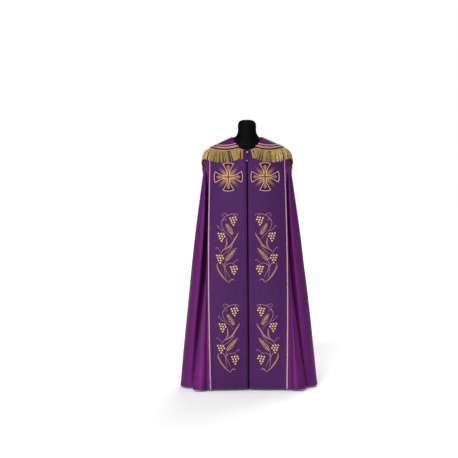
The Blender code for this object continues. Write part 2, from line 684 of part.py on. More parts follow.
# ------------------------------------------------------------------ the dress form
def make_form():
    bearing = np.linspace(0.0, 2 * math.pi, FORM_SIDES, endpoint=False) + math.pi / FORM_SIDES
    rings = ring_points(np.array(FORM_RINGS)[:, None, :], bearing[None, :])
    stacked("form_torso", rings, "form_cloth")

    pole = ((POLE_RADIUS, BASE_THICKNESS + SEAM), (POLE_RADIUS, FORM_RINGS[0].z_side - SEAM))
    turned("form_pole", pole, ROUND_SIDES, "form_stand")
    base = (
        (BASE_RADIUS, 0.0),
        (BASE_RADIUS, BASE_THICKNESS - BASE_CHAMFER),
        (BASE_RADIUS - BASE_CHAMFER, BASE_THICKNESS),
    )
    turned("form_base", base, 2 * ROUND_SIDES, "form_stand")


clear_scene()
make_mantle()
make_hood()
make_fringe()
make_tab()
make_clasps()
make_form()
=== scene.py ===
"""Looks of a priest's cope on its dress form: cloth, folds, braids, fringe, embroidery, light.

Metres, +Z up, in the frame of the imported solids: the wearer faces -Y and +X is the wearer's
left. The cloth is laid out on the same rings and folds as the solids, with finer faces, and
everything sewn to it is placed on those faces and moved out from them.
"""
import math
from collections import namedtuple

import bmesh
import bpy
import numpy as np
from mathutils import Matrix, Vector
from mathutils.bvhtree import BVHTree


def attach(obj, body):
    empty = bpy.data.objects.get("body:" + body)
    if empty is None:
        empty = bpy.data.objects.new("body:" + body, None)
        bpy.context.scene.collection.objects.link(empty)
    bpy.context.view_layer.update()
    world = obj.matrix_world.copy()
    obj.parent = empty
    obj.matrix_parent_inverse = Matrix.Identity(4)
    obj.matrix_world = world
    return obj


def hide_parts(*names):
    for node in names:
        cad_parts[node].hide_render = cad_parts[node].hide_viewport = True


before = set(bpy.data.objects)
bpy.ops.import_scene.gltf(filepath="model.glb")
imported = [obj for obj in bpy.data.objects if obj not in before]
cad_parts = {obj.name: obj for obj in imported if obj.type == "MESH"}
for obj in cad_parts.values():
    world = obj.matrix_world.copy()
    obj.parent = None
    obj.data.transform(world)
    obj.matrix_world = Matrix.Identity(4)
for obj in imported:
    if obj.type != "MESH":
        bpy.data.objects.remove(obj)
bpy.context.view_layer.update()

# ================ sizes of the cope
HEM_HEIGHT = 0.012          # the hem clears the floor
ROUNDNESS = 0.833           # 1 gives round rings, less gives squarer ones
CLOTH = 0.0015              # lined satin
TRIM = 0.0012               # woven braid
SEAM = 0.0003               # parting between two pieces that meet
HOOD_LIFT = 0.0064          # the hood's outer face above the mantle's

GALLOON_INSET = 0.0065
GALLOON_WIDTH = 0.017
BRAID_INSET = 0.0305
BRAID_WIDTH = 0.0064

FRINGE_GAP = 0.0015
FRINGE_HEADING = 0.005
FRINGE_LENGTH = 0.069
FRINGE_SPREAD = 0.85        # how far strands lean away from the hood, against their weight
FRINGE_FLARE = 0.012        # how far it stands off beside the arms
FLARE_RISE = 0.4            # the part of a strand over which it moves off so far
FRINGE_DROP = 0.014         # how much longer it is cut there
FLARE_BEARING = 104.0
FLARE_SPREAD = 17.0

TAB_HALF_WIDTH = 0.017
TAB_TOP = 1.442
TAB_BOTTOM = 1.374
TAB_BOW = 0.0006
TAB_LIFT = 0.0020
CLASPS = (("clasp_upper", 0.0052, 1.434), ("clasp_lower", 0.0036, 1.381))   # radius, height
CLASP_THICKNESS = 0.0026

# A ring of the body: half width, depth before and behind the centre line, height at the
# side, the front and the back.
Ring = namedtuple("Ring", "half_width front back z_side z_front z_back")
CLOTH_RINGS = [Ring(*row) for row in (
    (0.092, 0.086, 0.062, 1.528, 1.447, 1.535),   # neckline
    (0.130, 0.092, 0.084, 1.511, 1.437, 1.524),
    (0.175, 0.098, 0.105, 1.490, 1.426, 1.503),
    (0.214, 0.104, 0.122, 1.471, 1.414, 1.478),
    (0.243, 0.110, 0.134, 1.450, 1.400, 1.450),
    (0.259, 0.116, 0.143, 1.422, 1.384, 1.418),
    (0.266, 0.122, 0.150, 1.385, 1.364, 1.382),
    (0.270, 0.127, 0.156, 1.340, 1.340, 1.340),   # the cloth hangs free below this
    (0.417, 0.262, 0.372, HEM_HEIGHT, HEM_HEIGHT, HEM_HEIGHT),
)]
FORM_RINGS = [Ring(*row) for row in (
    (0.150, 0.100, 0.100, 0.800, 0.800, 0.800),
    (0.167, 0.112, 0.117, 0.900, 0.900, 0.900),
    (0.151, 0.101, 0.105, 1.010, 1.010, 1.010),
    (0.133, 0.093, 0.095, 1.110, 1.110, 1.110),
    (0.146, 0.100, 0.108, 1.200, 1.200, 1.200),
    (0.176, 0.107, 0.122, 1.290, 1.290, 1.290),
    (0.206, 0.105, 0.127, 1.360, 1.350, 1.365),
    (0.223, 0.102, 0.124, 1.408, 1.375, 1.405),
    (0.225, 0.101, 0.120, 1.438, 1.394, 1.438),
    (0.209, 0.100, 0.117, 1.467, 1.411, 1.474),   # shoulders, just under the cloth
    (0.171, 0.094, 0.101, 1.487, 1.423, 1.499),
    (0.126, 0.088, 0.080, 1.508, 1.434, 1.520),
    (0.088, 0.082, 0.058, 1.525, 1.444, 1.531),
    (0.078, 0.074, 0.055, 1.532, 1.459, 1.537),   # root of the neck
    (0.066, 0.066, 0.053, 1.544, 1.490, 1.546),
    (0.058, 0.060, 0.053, 1.562, 1.530, 1.562),
    (0.0565, 0.057, 0.053, 1.582, 1.570, 1.582),
    (0.0565, 0.0565, 0.053, 1.604, 1.604, 1.604),
    (0.054, 0.054, 0.051, 1.619, 1.619, 1.619),   # rounded cap
    (0.046, 0.046, 0.044, 1.631, 1.631, 1.631),
    (0.030, 0.030, 0.029, 1.638, 1.638, 1.638),
    (0.012, 0.012, 0.012, 1.640, 1.640, 1.640),
)]
FALL_START = 0.04
STRAIGHT_FROM = 0.200       # way down from which the orphreys' outer edges run straight
SIDE_BOW = 0.010            # how far the hanging cloth bows out to each side, midway
BOW_WHOLE_FROM = 0.200      # from this far off the middle it does so in full
DRAWN_HIGH = 0.7            # below 1, folds are drawn in most above the middle of the fall

# A ridge or valley of the mantle: bearing round the neck in degrees (0 front, 180 back),
# where it meets the hem, how late the fold opens on its way down (1 at once), and how far
# it is drawn in and back above its middle.
Fold = namedtuple(
    "Fold", "name bearing hem_x hem_y late drawn_in drawn_back", defaults=(1.0, 0.0, 0.0)
)
# The orphreys' folds are the same on both sides.
FRONT_FOLDS = (
    ("front_edge", 0.35, 0.0025, -0.240),
    ("orphrey_middle", 26.0, 0.115, -0.249),
    ("braid_inner", 54.2, 0.2245, -0.258),
    ("orphrey_outer", 55.8, 0.230, -0.259),
)
LEFT_FOLDS = [Fold(*row) for row in FRONT_FOLDS + (
    ("front_fold", 62.0, 0.287, -0.283, 1.00, 0.022, 0.012),
    ("front_fold_turn", 68.0, 0.338, -0.256, 1.00, 0.048, 0.012),
    ("front_valley", 74.0, 0.300, -0.190, 1.00, 0.050, 0.042),
    ("shoulder_fold", 80.0, 0.356, -0.166, 1.00, 0.036, -0.019),
    ("shoulder_turn", 85.0, 0.402, -0.133, 1.00, 0.018, -0.026),
    ("side_ridge", 90.0, 0.423, -0.050),
    ("side_valley", 100.0, 0.370, 0.040, 1.45),
    ("outer_ridge", 108.5, 0.396, 0.132, 1.05),
    ("outer_valley", 117.0, 0.343, 0.180, 1.50),
    ("middle_ridge", 126.0, 0.333, 0.260, 1.05),
    ("middle_valley", 136.0, 0.267, 0.279, 1.55),
    ("inner_ridge", 146.0, 0.212, 0.345, 1.05),
    ("inner_valley", 155.0, 0.149, 0.330, 1.60),
    ("back_ridge", 165.5, 0.092, 0.371, 1.05),
    ("back_valley", 178.0, 0.018, 0.354, 1.50),
)]
RIGHT_FOLDS = [Fold(*row) for row in FRONT_FOLDS + (
    ("front_fold", 62.0, 0.284, -0.280, 1.00, 0.023, 0.012),
    ("front_fold_turn", 68.5, 0.335, -0.260, 1.00, 0.051, 0.012),
    ("front_valley", 75.0, 0.304, -0.186, 1.00, 0.050, 0.068),
    ("shoulder_fold", 81.5, 0.362, -0.160, 1.00, 0.035, -0.022),
    ("shoulder_turn", 86.0, 0.404, -0.125, 1.00, 0.018, -0.027),
    ("side_ridge", 91.0, 0.422, -0.062),
    ("side_valley", 99.0, 0.366, 0.022, 1.55),
    ("outer_ridge", 107.5, 0.398, 0.110, 1.10),
    ("outer_valley", 115.5, 0.354, 0.166, 1.45),
    ("middle_ridge", 124.0, 0.345, 0.246),
    ("middle_valley", 134.5, 0.282, 0.274, 1.50),
    ("inner_ridge", 143.5, 0.236, 0.334, 1.10),
    ("inner_valley", 153.0, 0.170, 0.332, 1.50),
    ("back_ridge", 164.0, 0.108, 0.368),
)]

# A soft crease of the hanging satin: its bearing all round (0 front, 90 left, 180 back,
# 270 right), how far it drifts, the parts of the fall where it starts and ends, how deep
# it is (above 0 sinks in, below 0 stands out) and its half width in degrees.
Crease = namedtuple("Crease", "bearing drift start end depth spread")
CREASES = [Crease(*row) for row in (
    (57.4, 0.0, -0.20, 1.40, 0.0085, 1.3), (64.5, -0.8, 0.55, 1.00, 0.0030, 1.2),
    (73.4, 0.4, -0.02, 1.40, 0.0100, 2.4), (78.0, 0.2, 0.05, 1.40, 0.0060, 1.4),
    (83.0, -0.6, 0.40, 1.20, -0.0030, 1.6), (90.5, 0.7, 0.30, 1.20, 0.0050, 1.9),
    (96.5, 1.2, 0.08, 0.85, 0.0070, 2.0), (103.5, -1.1, 0.25, 1.20, 0.0055, 1.7),
    (112.0, 0.8, 0.30, 0.90, 0.0060, 1.9), (121.0, 1.2, 0.32, 1.20, 0.0060, 1.6),
    (130.0, -1.0, 0.28, 0.80, 0.0080, 2.3), (141.0, 0.9, 0.40, 1.20, 0.0065, 2.0),
    (151.0, -1.3, 0.35, 0.85, -0.0045, 2.0), (160.0, 0.8, 0.36, 1.20, 0.0070, 2.2),
    (171.5, 1.2, 0.40, 0.95, 0.0075, 2.4), (185.5, -1.0, 0.38, 1.20, 0.0065, 2.4),
    (191.0, 0.8, 0.50, 0.90, -0.0045, 1.9), (201.5, -0.9, 0.33, 1.20, 0.0070, 2.2),
    (212.0, 1.2, 0.40, 0.85, 0.0055, 1.8), (221.0, -1.0, 0.28, 1.20, 0.0080, 2.3),
    (231.0, 0.8, 0.35, 0.80, 0.0060, 2.0), (240.5, -1.2, 0.26, 1.20, 0.0055, 1.7),
    (249.0, 1.0, 0.25, 0.90, 0.0065, 1.9), (257.0, -0.9, 0.12, 0.75, 0.0055, 1.8),
    (264.5, 1.1, 0.08, 1.20, 0.0070, 2.1), (270.5, -0.8, 0.35, 1.20, 0.0045, 1.7),
    (276.5, 0.6, 0.45, 1.20, -0.0030, 1.6), (281.4, -0.2, 0.00, 1.40, 0.0085, 1.5),
    (286.0, -0.3, -0.02, 1.40, 0.0140, 2.6), (296.5, 0.8, 0.60, 1.00, 0.0028, 1.2),
    (302.6, 0.0, -0.20, 1.40, 0.0085, 1.3),
)]
# The stiffened orphreys only wave a little: across from the opening, where along the fall
# the wave is strongest and how far it reaches, how deep, and its half width.
Wave = namedtuple("Wave", "across middle reach depth spread")
ORPHREY_WAVES = (
    Wave(0.060, 0.25, 0.35, 0.0016, 0.034),
    Wave(0.150, 0.55, 0.40, -0.0020, 0.040),
    Wave(0.190, 0.15, 0.25, 0.0018, 0.030),
    Wave(0.095, 0.85, 0.30, -0.0018, 0.034),
    Wave(0.200, 0.90, 0.30, 0.0022, 0.030),
)
EDGE_ROLL = 0.0065          # how far the orphreys' front edges turn in
EDGE_ROLL_WIDTH = 0.012

# The hood's edge: a bearing from the front, and how far down the rings it reaches there.
HOOD_EDGE = (
    (9.5, 0.007), (17.0, 0.007), (23.5, 0.009), (27.0, 0.022), (29.5, 0.048), (32.0, 0.071),
    (35.0, 0.091), (39.0, 0.108), (44.0, 0.122), (50.0, 0.132), (58.0, 0.140), (72.0, 0.148),
    (90.0, 0.154), (103.0, 0.168), (112.5, 0.194), (117.0, 0.228), (120.5, 0.263),
    (125.5, 0.298), (131.5, 0.332), (142.5, 0.394), (152.5, 0.444), (164.5, 0.491),
    (174.0, 0.524), (180.0, 0.544),
)

SIDES = ((1, "left"), (-1, "right"))      # the wearer's
ROUND_ANGLE = 80            # degrees up to which strands and grains are shaded smooth
# How finely the cloth is divided.
SHOULDER_STEPS = 40
FALL_STEPS = 120
COLUMN_SPACING = 0.0045     # at the hem
HOOD_STEPS = 58
HOOD_COLUMNS = 170          # on each side
STRAND_SPACING = 0.0028
STRAND_STEPS = 8
FORM_SIDES = 96


# ================ curves, rings and cloth
def unit(vectors):
    return vectors / np.linalg.norm(vectors, axis=-1, keepdims=True)


def dot(first, second):
    return np.sum(first * second, -1)


def turned_flat(way, normal):
    """A way turned into the surface that has the normal."""
    return unit(way - dot(way, normal)[..., None] * normal)


def through(knots, values, places):
    """A smooth curve through every row of values, read at places along the knots."""
    knots = np.asarray(knots, float)
    values = np.asarray(values, float)
    places = np.asarray(places, float)
    slopes = np.gradient(values, knots, axis=0)
    low = np.clip(np.searchsorted(knots, places, side="right") - 1, 0, len(knots) - 2)
    column = (-1,) + (1,) * (values.ndim - 1)
    span = (knots[low + 1] - knots[low]).reshape(column)
    part = ((places - knots[low]) / (knots[low + 1] - knots[low])).reshape(column)
    square, cube = part**2, part**3
    return (
        (2 * cube - 3 * square + 1) * values[low]
        + (cube - 2 * square + part) * span * slopes[low]
        + (3 * square - 2 * cube) * values[low + 1]
        + (cube - square) * span * slopes[low + 1]
    )


def lengths_along(points):
    """Running length at each point of a line."""
    steps = np.linalg.norm(np.diff(points, axis=0), axis=1)
    return np.concatenate([[0.0], np.cumsum(steps)])


def ring_points(rings, bearing):
    """Points of rings (..., 6) at bearings (...): 0 in front, positive to +X."""
    half_width, front, back, z_side, z_front, z_back = np.moveaxis(np.asarray(rings, float), -1, 0)
    across, ahead = np.sin(bearing), np.cos(bearing)
    x = half_width * np.sign(across) * np.abs(across) ** ROUNDNESS
    y = -np.where(ahead > 0, front, back) * np.sign(ahead) * np.abs(ahead) ** ROUNDNESS
    z_middle = np.where(ahead > 0, z_front, z_back)
    return np.stack([x, y, z_side + (z_middle - z_side) * ahead**2], axis=-1)


def rings_with_straight_fall():
    body, last, hem = CLOTH_RINGS[:-1], np.array(CLOTH_RINGS[-2]), np.array(CLOTH_RINGS[-1])
    return np.vstack([body, last + (hem - last) * FALL_START, hem])


RINGS = rings_with_straight_fall()
RING_DOWN = lengths_along(RINGS[:, (0, 3)])
FREE_FALL = RING_DOWN[-3]


def on_cloth(bearing, down):
    """Smooth surface of the unfolded cope: bearing in radians, way down from the neck."""
    bearing, down = np.broadcast_arrays(np.asarray(bearing, float), np.asarray(down, float))
    rings = through(RING_DOWN, RINGS, down.ravel()).reshape(down.shape + (6,))
    return ring_points(rings, bearing)


SLOPE_REACH = 0.004         # how far on slopes are measured
BODY_RADIUS = 0.2           # about


def cloth_slopes(bearing, down):
    """How the smooth surface moves with bearing and with way down, and its outward normal."""
    turn = SLOPE_REACH / BODY_RADIUS
    by_bearing = (on_cloth(bearing + turn, down) - on_cloth(bearing - turn, down)) / (2 * turn)
    low = np.maximum(down - SLOPE_REACH, 0.0)
    high = down + SLOPE_REACH
    by_down = (on_cloth(bearing, high) - on_cloth(bearing, low)) / (high - low)[..., None]
    return by_bearing, by_down, unit(np.cross(by_down, by_bearing))


def walk(bearing, down, direction, length, steps):
    """Go a length over the smooth cloth, keeping to a direction in space."""
    for _ in range(steps):
        by_bearing, by_down, normal = cloth_slopes(bearing, down)
        flat = turned_flat(direction, normal) * (length / steps)
        aa = dot(by_bearing, by_bearing)
        ad = dot(by_bearing, by_down)
        dd = dot(by_down, by_down)
        fa = dot(flat, by_bearing)
        fd = dot(flat, by_down)
        part = aa * dd - ad * ad
        bearing = bearing + (fa * dd - fd * ad) / part
        down = np.maximum(down + (fd * aa - fa * ad) / part, 0.0)
    return bearing, down


def grid_normals(grid):
    """Outward normals of a grid whose rows run down and whose columns run on from front to +X."""
    return unit(np.cross(np.gradient(grid, axis=0), np.gradient(grid, axis=1)))


# ================ meshes
def placed(name, data):
    """An object in the scene."""
    thing = bpy.data.objects.new(name, data)
    bpy.context.scene.collection.objects.link(thing)
    return thing


def keep(name, mesh, stands_for=(), smooth_under=50):
    """A finished piece of the cope: linked, smooth and on the one body."""
    mesh.shade_smooth()
    mesh.set_sharp_from_angle(angle=math.radians(smooth_under))
    piece = placed(name, mesh)
    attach(piece, "root")
    if stands_for:
        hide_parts(*stands_for)
    return piece


def mesh_of(name, points, faces=(), edges=(), look=None):
    """A mesh from its points, faces and edges, in one of the finishes."""
    mesh = bpy.data.meshes.new(name)
    mesh.from_pydata(np.asarray(points).tolist(), list(edges), [list(face) for face in faces])
    if look:
        mesh.materials.append(LOOKS[look])
    return mesh


def add_attribute(mesh, title, values):
    """A point attribute: numbers, or vectors where each point has a row of three."""
    values = np.asarray(values, np.float32)
    kind, field = ("FLOAT_VECTOR", "vector") if values.ndim > 1 else ("FLOAT", "value")
    mesh.attributes.new(title, kind, "POINT").data.foreach_set(field, values.ravel())


def add_uv(mesh, u, v):
    """A UV map from one value pair to a point."""
    corners = np.zeros(len(mesh.loops), np.int32)
    mesh.loops.foreach_get("vertex_index", corners)
    pairs = np.stack([u[corners], v[corners]], axis=1).astype(np.float32)
    mesh.uv_layers.new(name="cloth").data.foreach_set("uv", pairs.ravel())


def grid_faces(rows, columns):
    """Faces of a grid, seen from outside: down, then across."""
    first = (np.arange(rows - 1)[:, None] * columns + np.arange(columns - 1)).ravel()
    return np.stack([first, first + columns, first + columns + 1, first + 1], axis=1)


def cloth_piece(name, outer, normals, thickness, look, stands_for=(), lift=0.0):
    """A closed sheet on a grid, its UV in metres: across at its lowest row, and down."""
    rows, columns = outer.shape[:2]
    count = rows * columns
    points = np.concatenate([
        (outer + normals * lift).reshape(-1, 3),
        (outer + normals * (lift - thickness)).reshape(-1, 3),
    ])
    front = grid_faces(rows, columns)
    around = np.concatenate([
        np.arange(columns),
        np.arange(1, rows) * columns + columns - 1,
        (rows - 1) * columns + np.arange(columns - 2, -1, -1),
        np.arange(rows - 2, 0, -1) * columns,
    ])
    after = np.roll(around, -1)
    rim = np.stack([around, after, after + count, around + count], axis=1)
    mesh = mesh_of(name, points, np.concatenate([front, front[:, ::-1] + count, rim]), look=look)
    across = lengths_along(outer[-1])
    down = lengths_along(outer[:, columns // 2])
    u = np.tile(np.broadcast_to(across, (rows, columns)).ravel(), 2)
    v = np.tile(np.broadcast_to(down[:, None], (rows, columns)).ravel(), 2)
    add_uv(mesh, u, v)
    long_way, short_way = (u, v) if across[-1] > down[-1] else (v, u)
    add_attribute(mesh, "along", long_way)
    add_attribute(mesh, "across", short_way)
    return keep(name, mesh, stands_for)


def stack_mesh(name, rings, look):
    """A closed mesh from rings of points, lowest first, with a fan of faces over each end."""
    count, sides = rings.shape[:2]
    ends = rings[[0, -1]].mean(axis=1)
    points = np.concatenate([ends[:1], rings.reshape(-1, 3), ends[1:]])
    top = 1 + (count - 1) * sides
    faces = []
    for step in range(sides):
        after = (step + 1) % sides
        faces.append((0, 1 + after, 1 + step))
        faces.append((top + step, top + after, len(points) - 1))
        for row in range(count - 1):
            low, high = 1 + row * sides, 1 + (row + 1) * sides
            faces.append((low + step, low + after, high + after, high + step))
    return mesh_of(name, points, faces, look=look)


# ================ node trees
def feed(tree, node, inputs):
    """Give inputs of a node, by name or number, a value or another node's output."""
    for name, value in inputs.items():
        if isinstance(value, bpy.types.NodeSocket):
            tree.links.new(value, node.inputs[name])
        else:
            node.inputs[name].default_value = value


def add_node(tree, kind, inputs=None, **settings):
    """A new node with its settings and inputs."""
    node = tree.nodes.new(kind)
    for name, value in settings.items():
        setattr(node, name, value)
    feed(tree, node, inputs or {})
    return node


def output_of(*node, **settings):
    """The first output of a new node."""
    return add_node(*node, **settings).outputs[0]


def new_group(name, kind, inputs, outputs):
    """An empty node group, its inputs and its end. A socket has a title, a kind and a value."""
    group = bpy.data.node_groups.new(name, kind)
    for way, sockets in (("INPUT", inputs), ("OUTPUT", outputs)):
        for title, sort, *value in sockets:
            socket = group.interface.new_socket(title, in_out=way, socket_type="NodeSocket" + sort)
            if value:
                socket.default_value = value[0]
    return group, group.nodes.new("NodeGroupInput").outputs, group.nodes.new("NodeGroupOutput")


def maths(tree, operation, *values):
    return output_of(tree, "ShaderNodeMath", dict(enumerate(values)), operation=operation)


def mixed(tree, factor, first, second):
    """Two colours mixed by a factor."""
    return add_node(
        tree, "ShaderNodeMix", {0: factor, 6: first, 7: second}, data_type="RGBA"
    ).outputs[2]


def noise(tree, place, scale, detail, roughness=0.5):
    """A cloudy pattern over places, from 0 to 1."""
    return add_node(
        tree, "ShaderNodeTexNoise",
        {"Vector": place, "Scale": scale, "Detail": detail, "Roughness": roughness},
    ).outputs["Fac"]


def ridges(tree, way, pitch):
    """A wave from -1 to 1 and back at every pitch of the way."""
    turns = maths(tree, "DIVIDE", way, pitch)
    return maths(tree, "SINE", maths(tree, "MULTIPLY", turns, 2 * math.pi))


def bumped(tree, height, strength, distance):
    """The normal of a surface raised by a height."""
    return output_of(
        tree, "ShaderNodeBump", {"Height": height, "Strength": strength, "Distance": distance}
    )


def object_place(tree):
    return add_node(tree, "ShaderNodeTexCoord").outputs["Object"]


def colour(red, green, blue):
    """Screen values of 0 to 255 as a linear colour."""
    linear = [
        v / 12.92 if v <= 0.04045 else ((v + 0.055) / 1.055) ** 2.4
        for v in (red / 255, green / 255, blue / 255)
    ]
    return (*linear, 1.0)


FLOAT_SLANT = 0.35          # of the satin's long floats
SLUB_SCALE = (220.0, 9.0, 1.0)      # across the warp, and drawn out along it
SLUB_SHARE, CLOUD_SHARE = 0.65, 0.35        # of the shade
RIDGE_HEIGHT = 0.22         # of a float or a turn of thread, against the rest


def make_satin_effect():
    """Satin: long floats on a fine slant, slubs drawn out along the warp, a little shade."""
    group, start, end = new_group(
        "satin_weave", "ShaderNodeTree",
        (("Vector", "Vector"), ("Light", "Color"), ("Deep", "Color"),
         ("Float", "Float", 0.0009), ("Sheen", "Float", 0.40)),
        (("Color", "Color"), ("Roughness", "Float"), ("Height", "Float")),
    )
    parts = add_node(group, "ShaderNodeSeparateXYZ", {0: start["Vector"]}).outputs
    slant = maths(group, "MULTIPLY_ADD", parts[1], FLOAT_SLANT, parts[0])
    drawn = output_of(group, "ShaderNodeMapping", {"Vector": start["Vector"], "Scale": SLUB_SCALE})
    slubs = noise(group, drawn, 1.0, 3.0, 0.6)
    clouds = maths(group, "MULTIPLY", noise(group, start["Vector"], 7.0, 2.0), CLOUD_SHARE)
    shade = maths(group, "MULTIPLY_ADD", slubs, SLUB_SHARE, clouds)
    tone = output_of(
        group, "ShaderNodeMapRange", {"Value": shade, "From Min": 0.26, "From Max": 0.74}
    )
    floats = ridges(group, slant, start["Float"])
    feed(group, end, {
        "Color": mixed(group, tone, start["Deep"], start["Light"]),
        "Roughness": maths(group, "MULTIPLY_ADD", slubs, 0.14, start["Sheen"]),
        "Height": maths(group, "MULTIPLY_ADD", floats, RIDGE_HEIGHT, slubs),
    })
    return group


def make_thread_effect():
    """Thread laid close: a ridge to each turn along the work, painted highlight on its crest and
    painted shade in the grooves, and a shade that varies.
    """
    group, start, end = new_group(
        "laid_thread", "ShaderNodeTree",
        (("Along", "Float", 0.0), ("Across", "Float", 0.0), ("Pitch", "Float", 0.0008),
         ("Slant", "Float", 0.5), ("Light", "Color"), ("Deep", "Color")),
        (("Color", "Color"), ("Height", "Float")),
    )
    way = maths(group, "MULTIPLY_ADD", start["Across"], start["Slant"], start["Along"])
    ridge = ridges(group, way, start["Pitch"])
    shade = noise(group, object_place(group), 160.0, 3.0)
    lift = maths(group, "MULTIPLY_ADD", ridge, RIDGE_HEIGHT, 0.5)
    # The ridge also lightens the colour on each crest and darkens it in the grooves: painted
    # highlight and painted shade.
    tone = maths(group, "MULTIPLY_ADD", shade, 1.1, maths(group, "SUBTRACT", lift, 0.6))
    held = output_of(group, "ShaderNodeClamp", {0: tone})
    feed(group, end, {
        "Color": mixed(group, held, start["Deep"], start["Light"]),
        "Height": lift,
    })
    return group


def new_grower(name, inputs):
    """An empty Geometry Nodes tree on a seed mesh, with named inputs and a material."""
    geometry = ("Geometry", "Geometry")
    sockets = (geometry, *inputs, ("Material", "Material"))
    return new_group(name, "GeometryNodeTree", sockets, (geometry,))


def end_grower(tree, start, end, geometry):
    """Every tree ends alike: real meshes, smooth, in their material."""
    real = output_of(tree, "GeometryNodeRealizeInstances", {"Geometry": geometry})
    smooth = output_of(tree, "GeometryNodeSetShadeSmooth", {"Geometry": real})
    painted = output_of(
        tree, "GeometryNodeSetMaterial", {"Geometry": smooth, "Material": start["Material"]}
    )
    feed(tree, end, {0: painted})
    return tree


def named(tree, title, kind="FLOAT"):
    return add_node(
        tree, "GeometryNodeInputNamedAttribute", {"Name": title}, data_type=kind
    ).outputs["Attribute"]


def stored(tree, geometry, title, value):
    return output_of(
        tree, "GeometryNodeStoreNamedAttribute",
        {"Geometry": geometry, "Name": title, "Value": value}, data_type="FLOAT", domain="POINT",
    )


def circle(tree, sides, radius):
    return output_of(
        tree, "GeometryNodeCurvePrimitiveCircle", {"Resolution": sides, "Radius": radius}
    )


def ball(tree, segments, rings, radius):
    return output_of(
        tree, "GeometryNodeMeshUVSphere", {"Segments": segments, "Rings": rings, "Radius": radius}
    )


def drawn_out(tree, geometry, length, width, height):
    """Geometry drawn out to a length, a width and twice a height, half of it under the cloth."""
    tall = maths(tree, "MULTIPLY", height, 2.0)
    shape = output_of(tree, "ShaderNodeCombineXYZ", {0: length, 1: width, 2: tall})
    return output_of(tree, "GeometryNodeTransform", {"Geometry": geometry, "Scale": shape})


def end_dotter(tree, start, end, thing):
    """Stand the thing on every point of the seed, its Z out of the cloth and its X ahead."""
    place = output_of(tree, "GeometryNodeInputPosition")
    parts = add_node(tree, "ShaderNodeSeparateXYZ", {0: place}).outputs
    laid = stored(tree, stored(tree, thing, "along", parts[0]), "across", parts[1])
    stand = output_of(
        tree, "FunctionNodeAlignRotationToVector",
        {"Vector": named(tree, "out", "FLOAT_VECTOR")}, axis="Z",
    )
    turn = output_of(
        tree, "FunctionNodeAlignRotationToVector",
        {"Rotation": stand, "Vector": named(tree, "ahead", "FLOAT_VECTOR")},
        axis="X", pivot_axis="Z",
    )
    several = output_of(
        tree, "GeometryNodeInstanceOnPoints",
        {"Points": start["Geometry"], "Instance": laid, "Rotation": turn,
         "Scale": named(tree, "size")},
    )
    return end_grower(tree, start, end, several)


def make_strand_tree():
    """A round strand along every line of the seed, as thick as its points say."""
    tree, start, end = new_grower("strands_on_lines", (("Sides", "Int", 5),))
    lines = output_of(tree, "GeometryNodeMeshToCurve", {"Mesh": start["Geometry"]})
    index = output_of(tree, "GeometryNodeInputIndex")
    section = stored(tree, circle(tree, start["Sides"], 1.0), "turn", index)
    tube = output_of(
        tree, "GeometryNodeCurveToMesh",
        {"Curve": lines, "Profile Curve": section, "Scale": named(tree, "thick"),
         "Fill Caps": True},
    )
    return end_grower(tree, start, end, tube)


def make_grain_tree():
    """A padded grain of thread on every point of the seed, half sunk in the cloth."""
    tree, start, end = new_grower(
        "padded_grains",
        (("Length", "Float", 0.003), ("Width", "Float", 0.0015), ("Height", "Float", 0.0008),
         ("Sides", "Int", 6), ("Rings", "Int", 4)),
    )
    laid_down = output_of(
        tree, "GeometryNodeTransform",
        {"Geometry": ball(tree, start["Sides"], start["Rings"], 0.5),
         "Rotation": (0.0, math.pi / 2, 0.0)},
    )
    grain = drawn_out(tree, laid_down, start["Length"], start["Width"], start["Height"])
    return end_dotter(tree, start, end, grain)


def make_berry_tree():
    """A berry on every point: a low dome of thread inside a corded ring."""
    tree, start, end = new_grower(
        "ringed_berries",
        (("Across", "Float", 0.0126), ("Cord", "Float", 0.0011), ("Height", "Float", 0.0017)),
    )
    dome = drawn_out(
        tree, ball(tree, 12, 6, 0.45), start["Across"], start["Across"], start["Height"]
    )
    hoop = output_of(
        tree, "GeometryNodeCurveToMesh",
        {"Curve": circle(tree, 14, maths(tree, "MULTIPLY", start["Across"], 0.5)),
         "Profile Curve": circle(tree, 5, start["Cord"])},
    )
    berry = add_node(tree, "GeometryNodeJoinGeometry")
    feed(tree, berry, {0: dome})
    feed(tree, berry, {0: hoop})
    return end_dotter(tree, start, end, berry.outputs[0])


SATIN = make_satin_effect()
THREAD = make_thread_effect()
STRANDS = make_strand_tree()
GRAINS = make_grain_tree()
BERRIES = make_berry_tree()


def grown(name, seed, tree, look, **values):
    """The plain mesh that a tree makes of a seed mesh, in one of the finishes."""
    thing = placed(name, seed)
    modifier = thing.modifiers.new("grow", "NODES")
    modifier.node_group = tree
    sockets = {item.name: item.identifier for item in tree.interface.items_tree}
    for title, value in {**values, "Material": LOOKS[look]}.items():
        modifier[sockets[title]] = value
    thing.update_tag()
    ready = thing.evaluated_get(bpy.context.evaluated_depsgraph_get())
    mesh = bpy.data.meshes.new_from_object(ready)
    mesh.name = name
    bpy.data.objects.remove(thing)
    return mesh


def strands(name, lines, thick, look, sides=5):
    """Round strands along lines of equal length; thick is each point's radius."""
    lines = np.asarray(lines, float)
    count, steps = lines.shape[:2]
    first = (np.arange(count)[:, None] * steps + np.arange(steps - 1)).ravel()
    edges = np.stack([first, first + 1], axis=1).tolist()
    seed = mesh_of(name, lines.reshape(-1, 3), edges=edges)
    run = np.stack([lengths_along(line) for line in lines])
    add_attribute(seed, "thick", np.broadcast_to(thick, run.shape).ravel())
    add_attribute(seed, "along", run.ravel())
    mesh = grown(name, seed, STRANDS, look, Sides=sides)
    turn = np.zeros(len(mesh.vertices), np.float32)
    mesh.attributes["turn"].data.foreach_get("value", turn)
    add_attribute(mesh, "across", turn * (2 * math.pi * float(np.mean(thick)) / sides))
    return keep(name, mesh, smooth_under=ROUND_ANGLE)


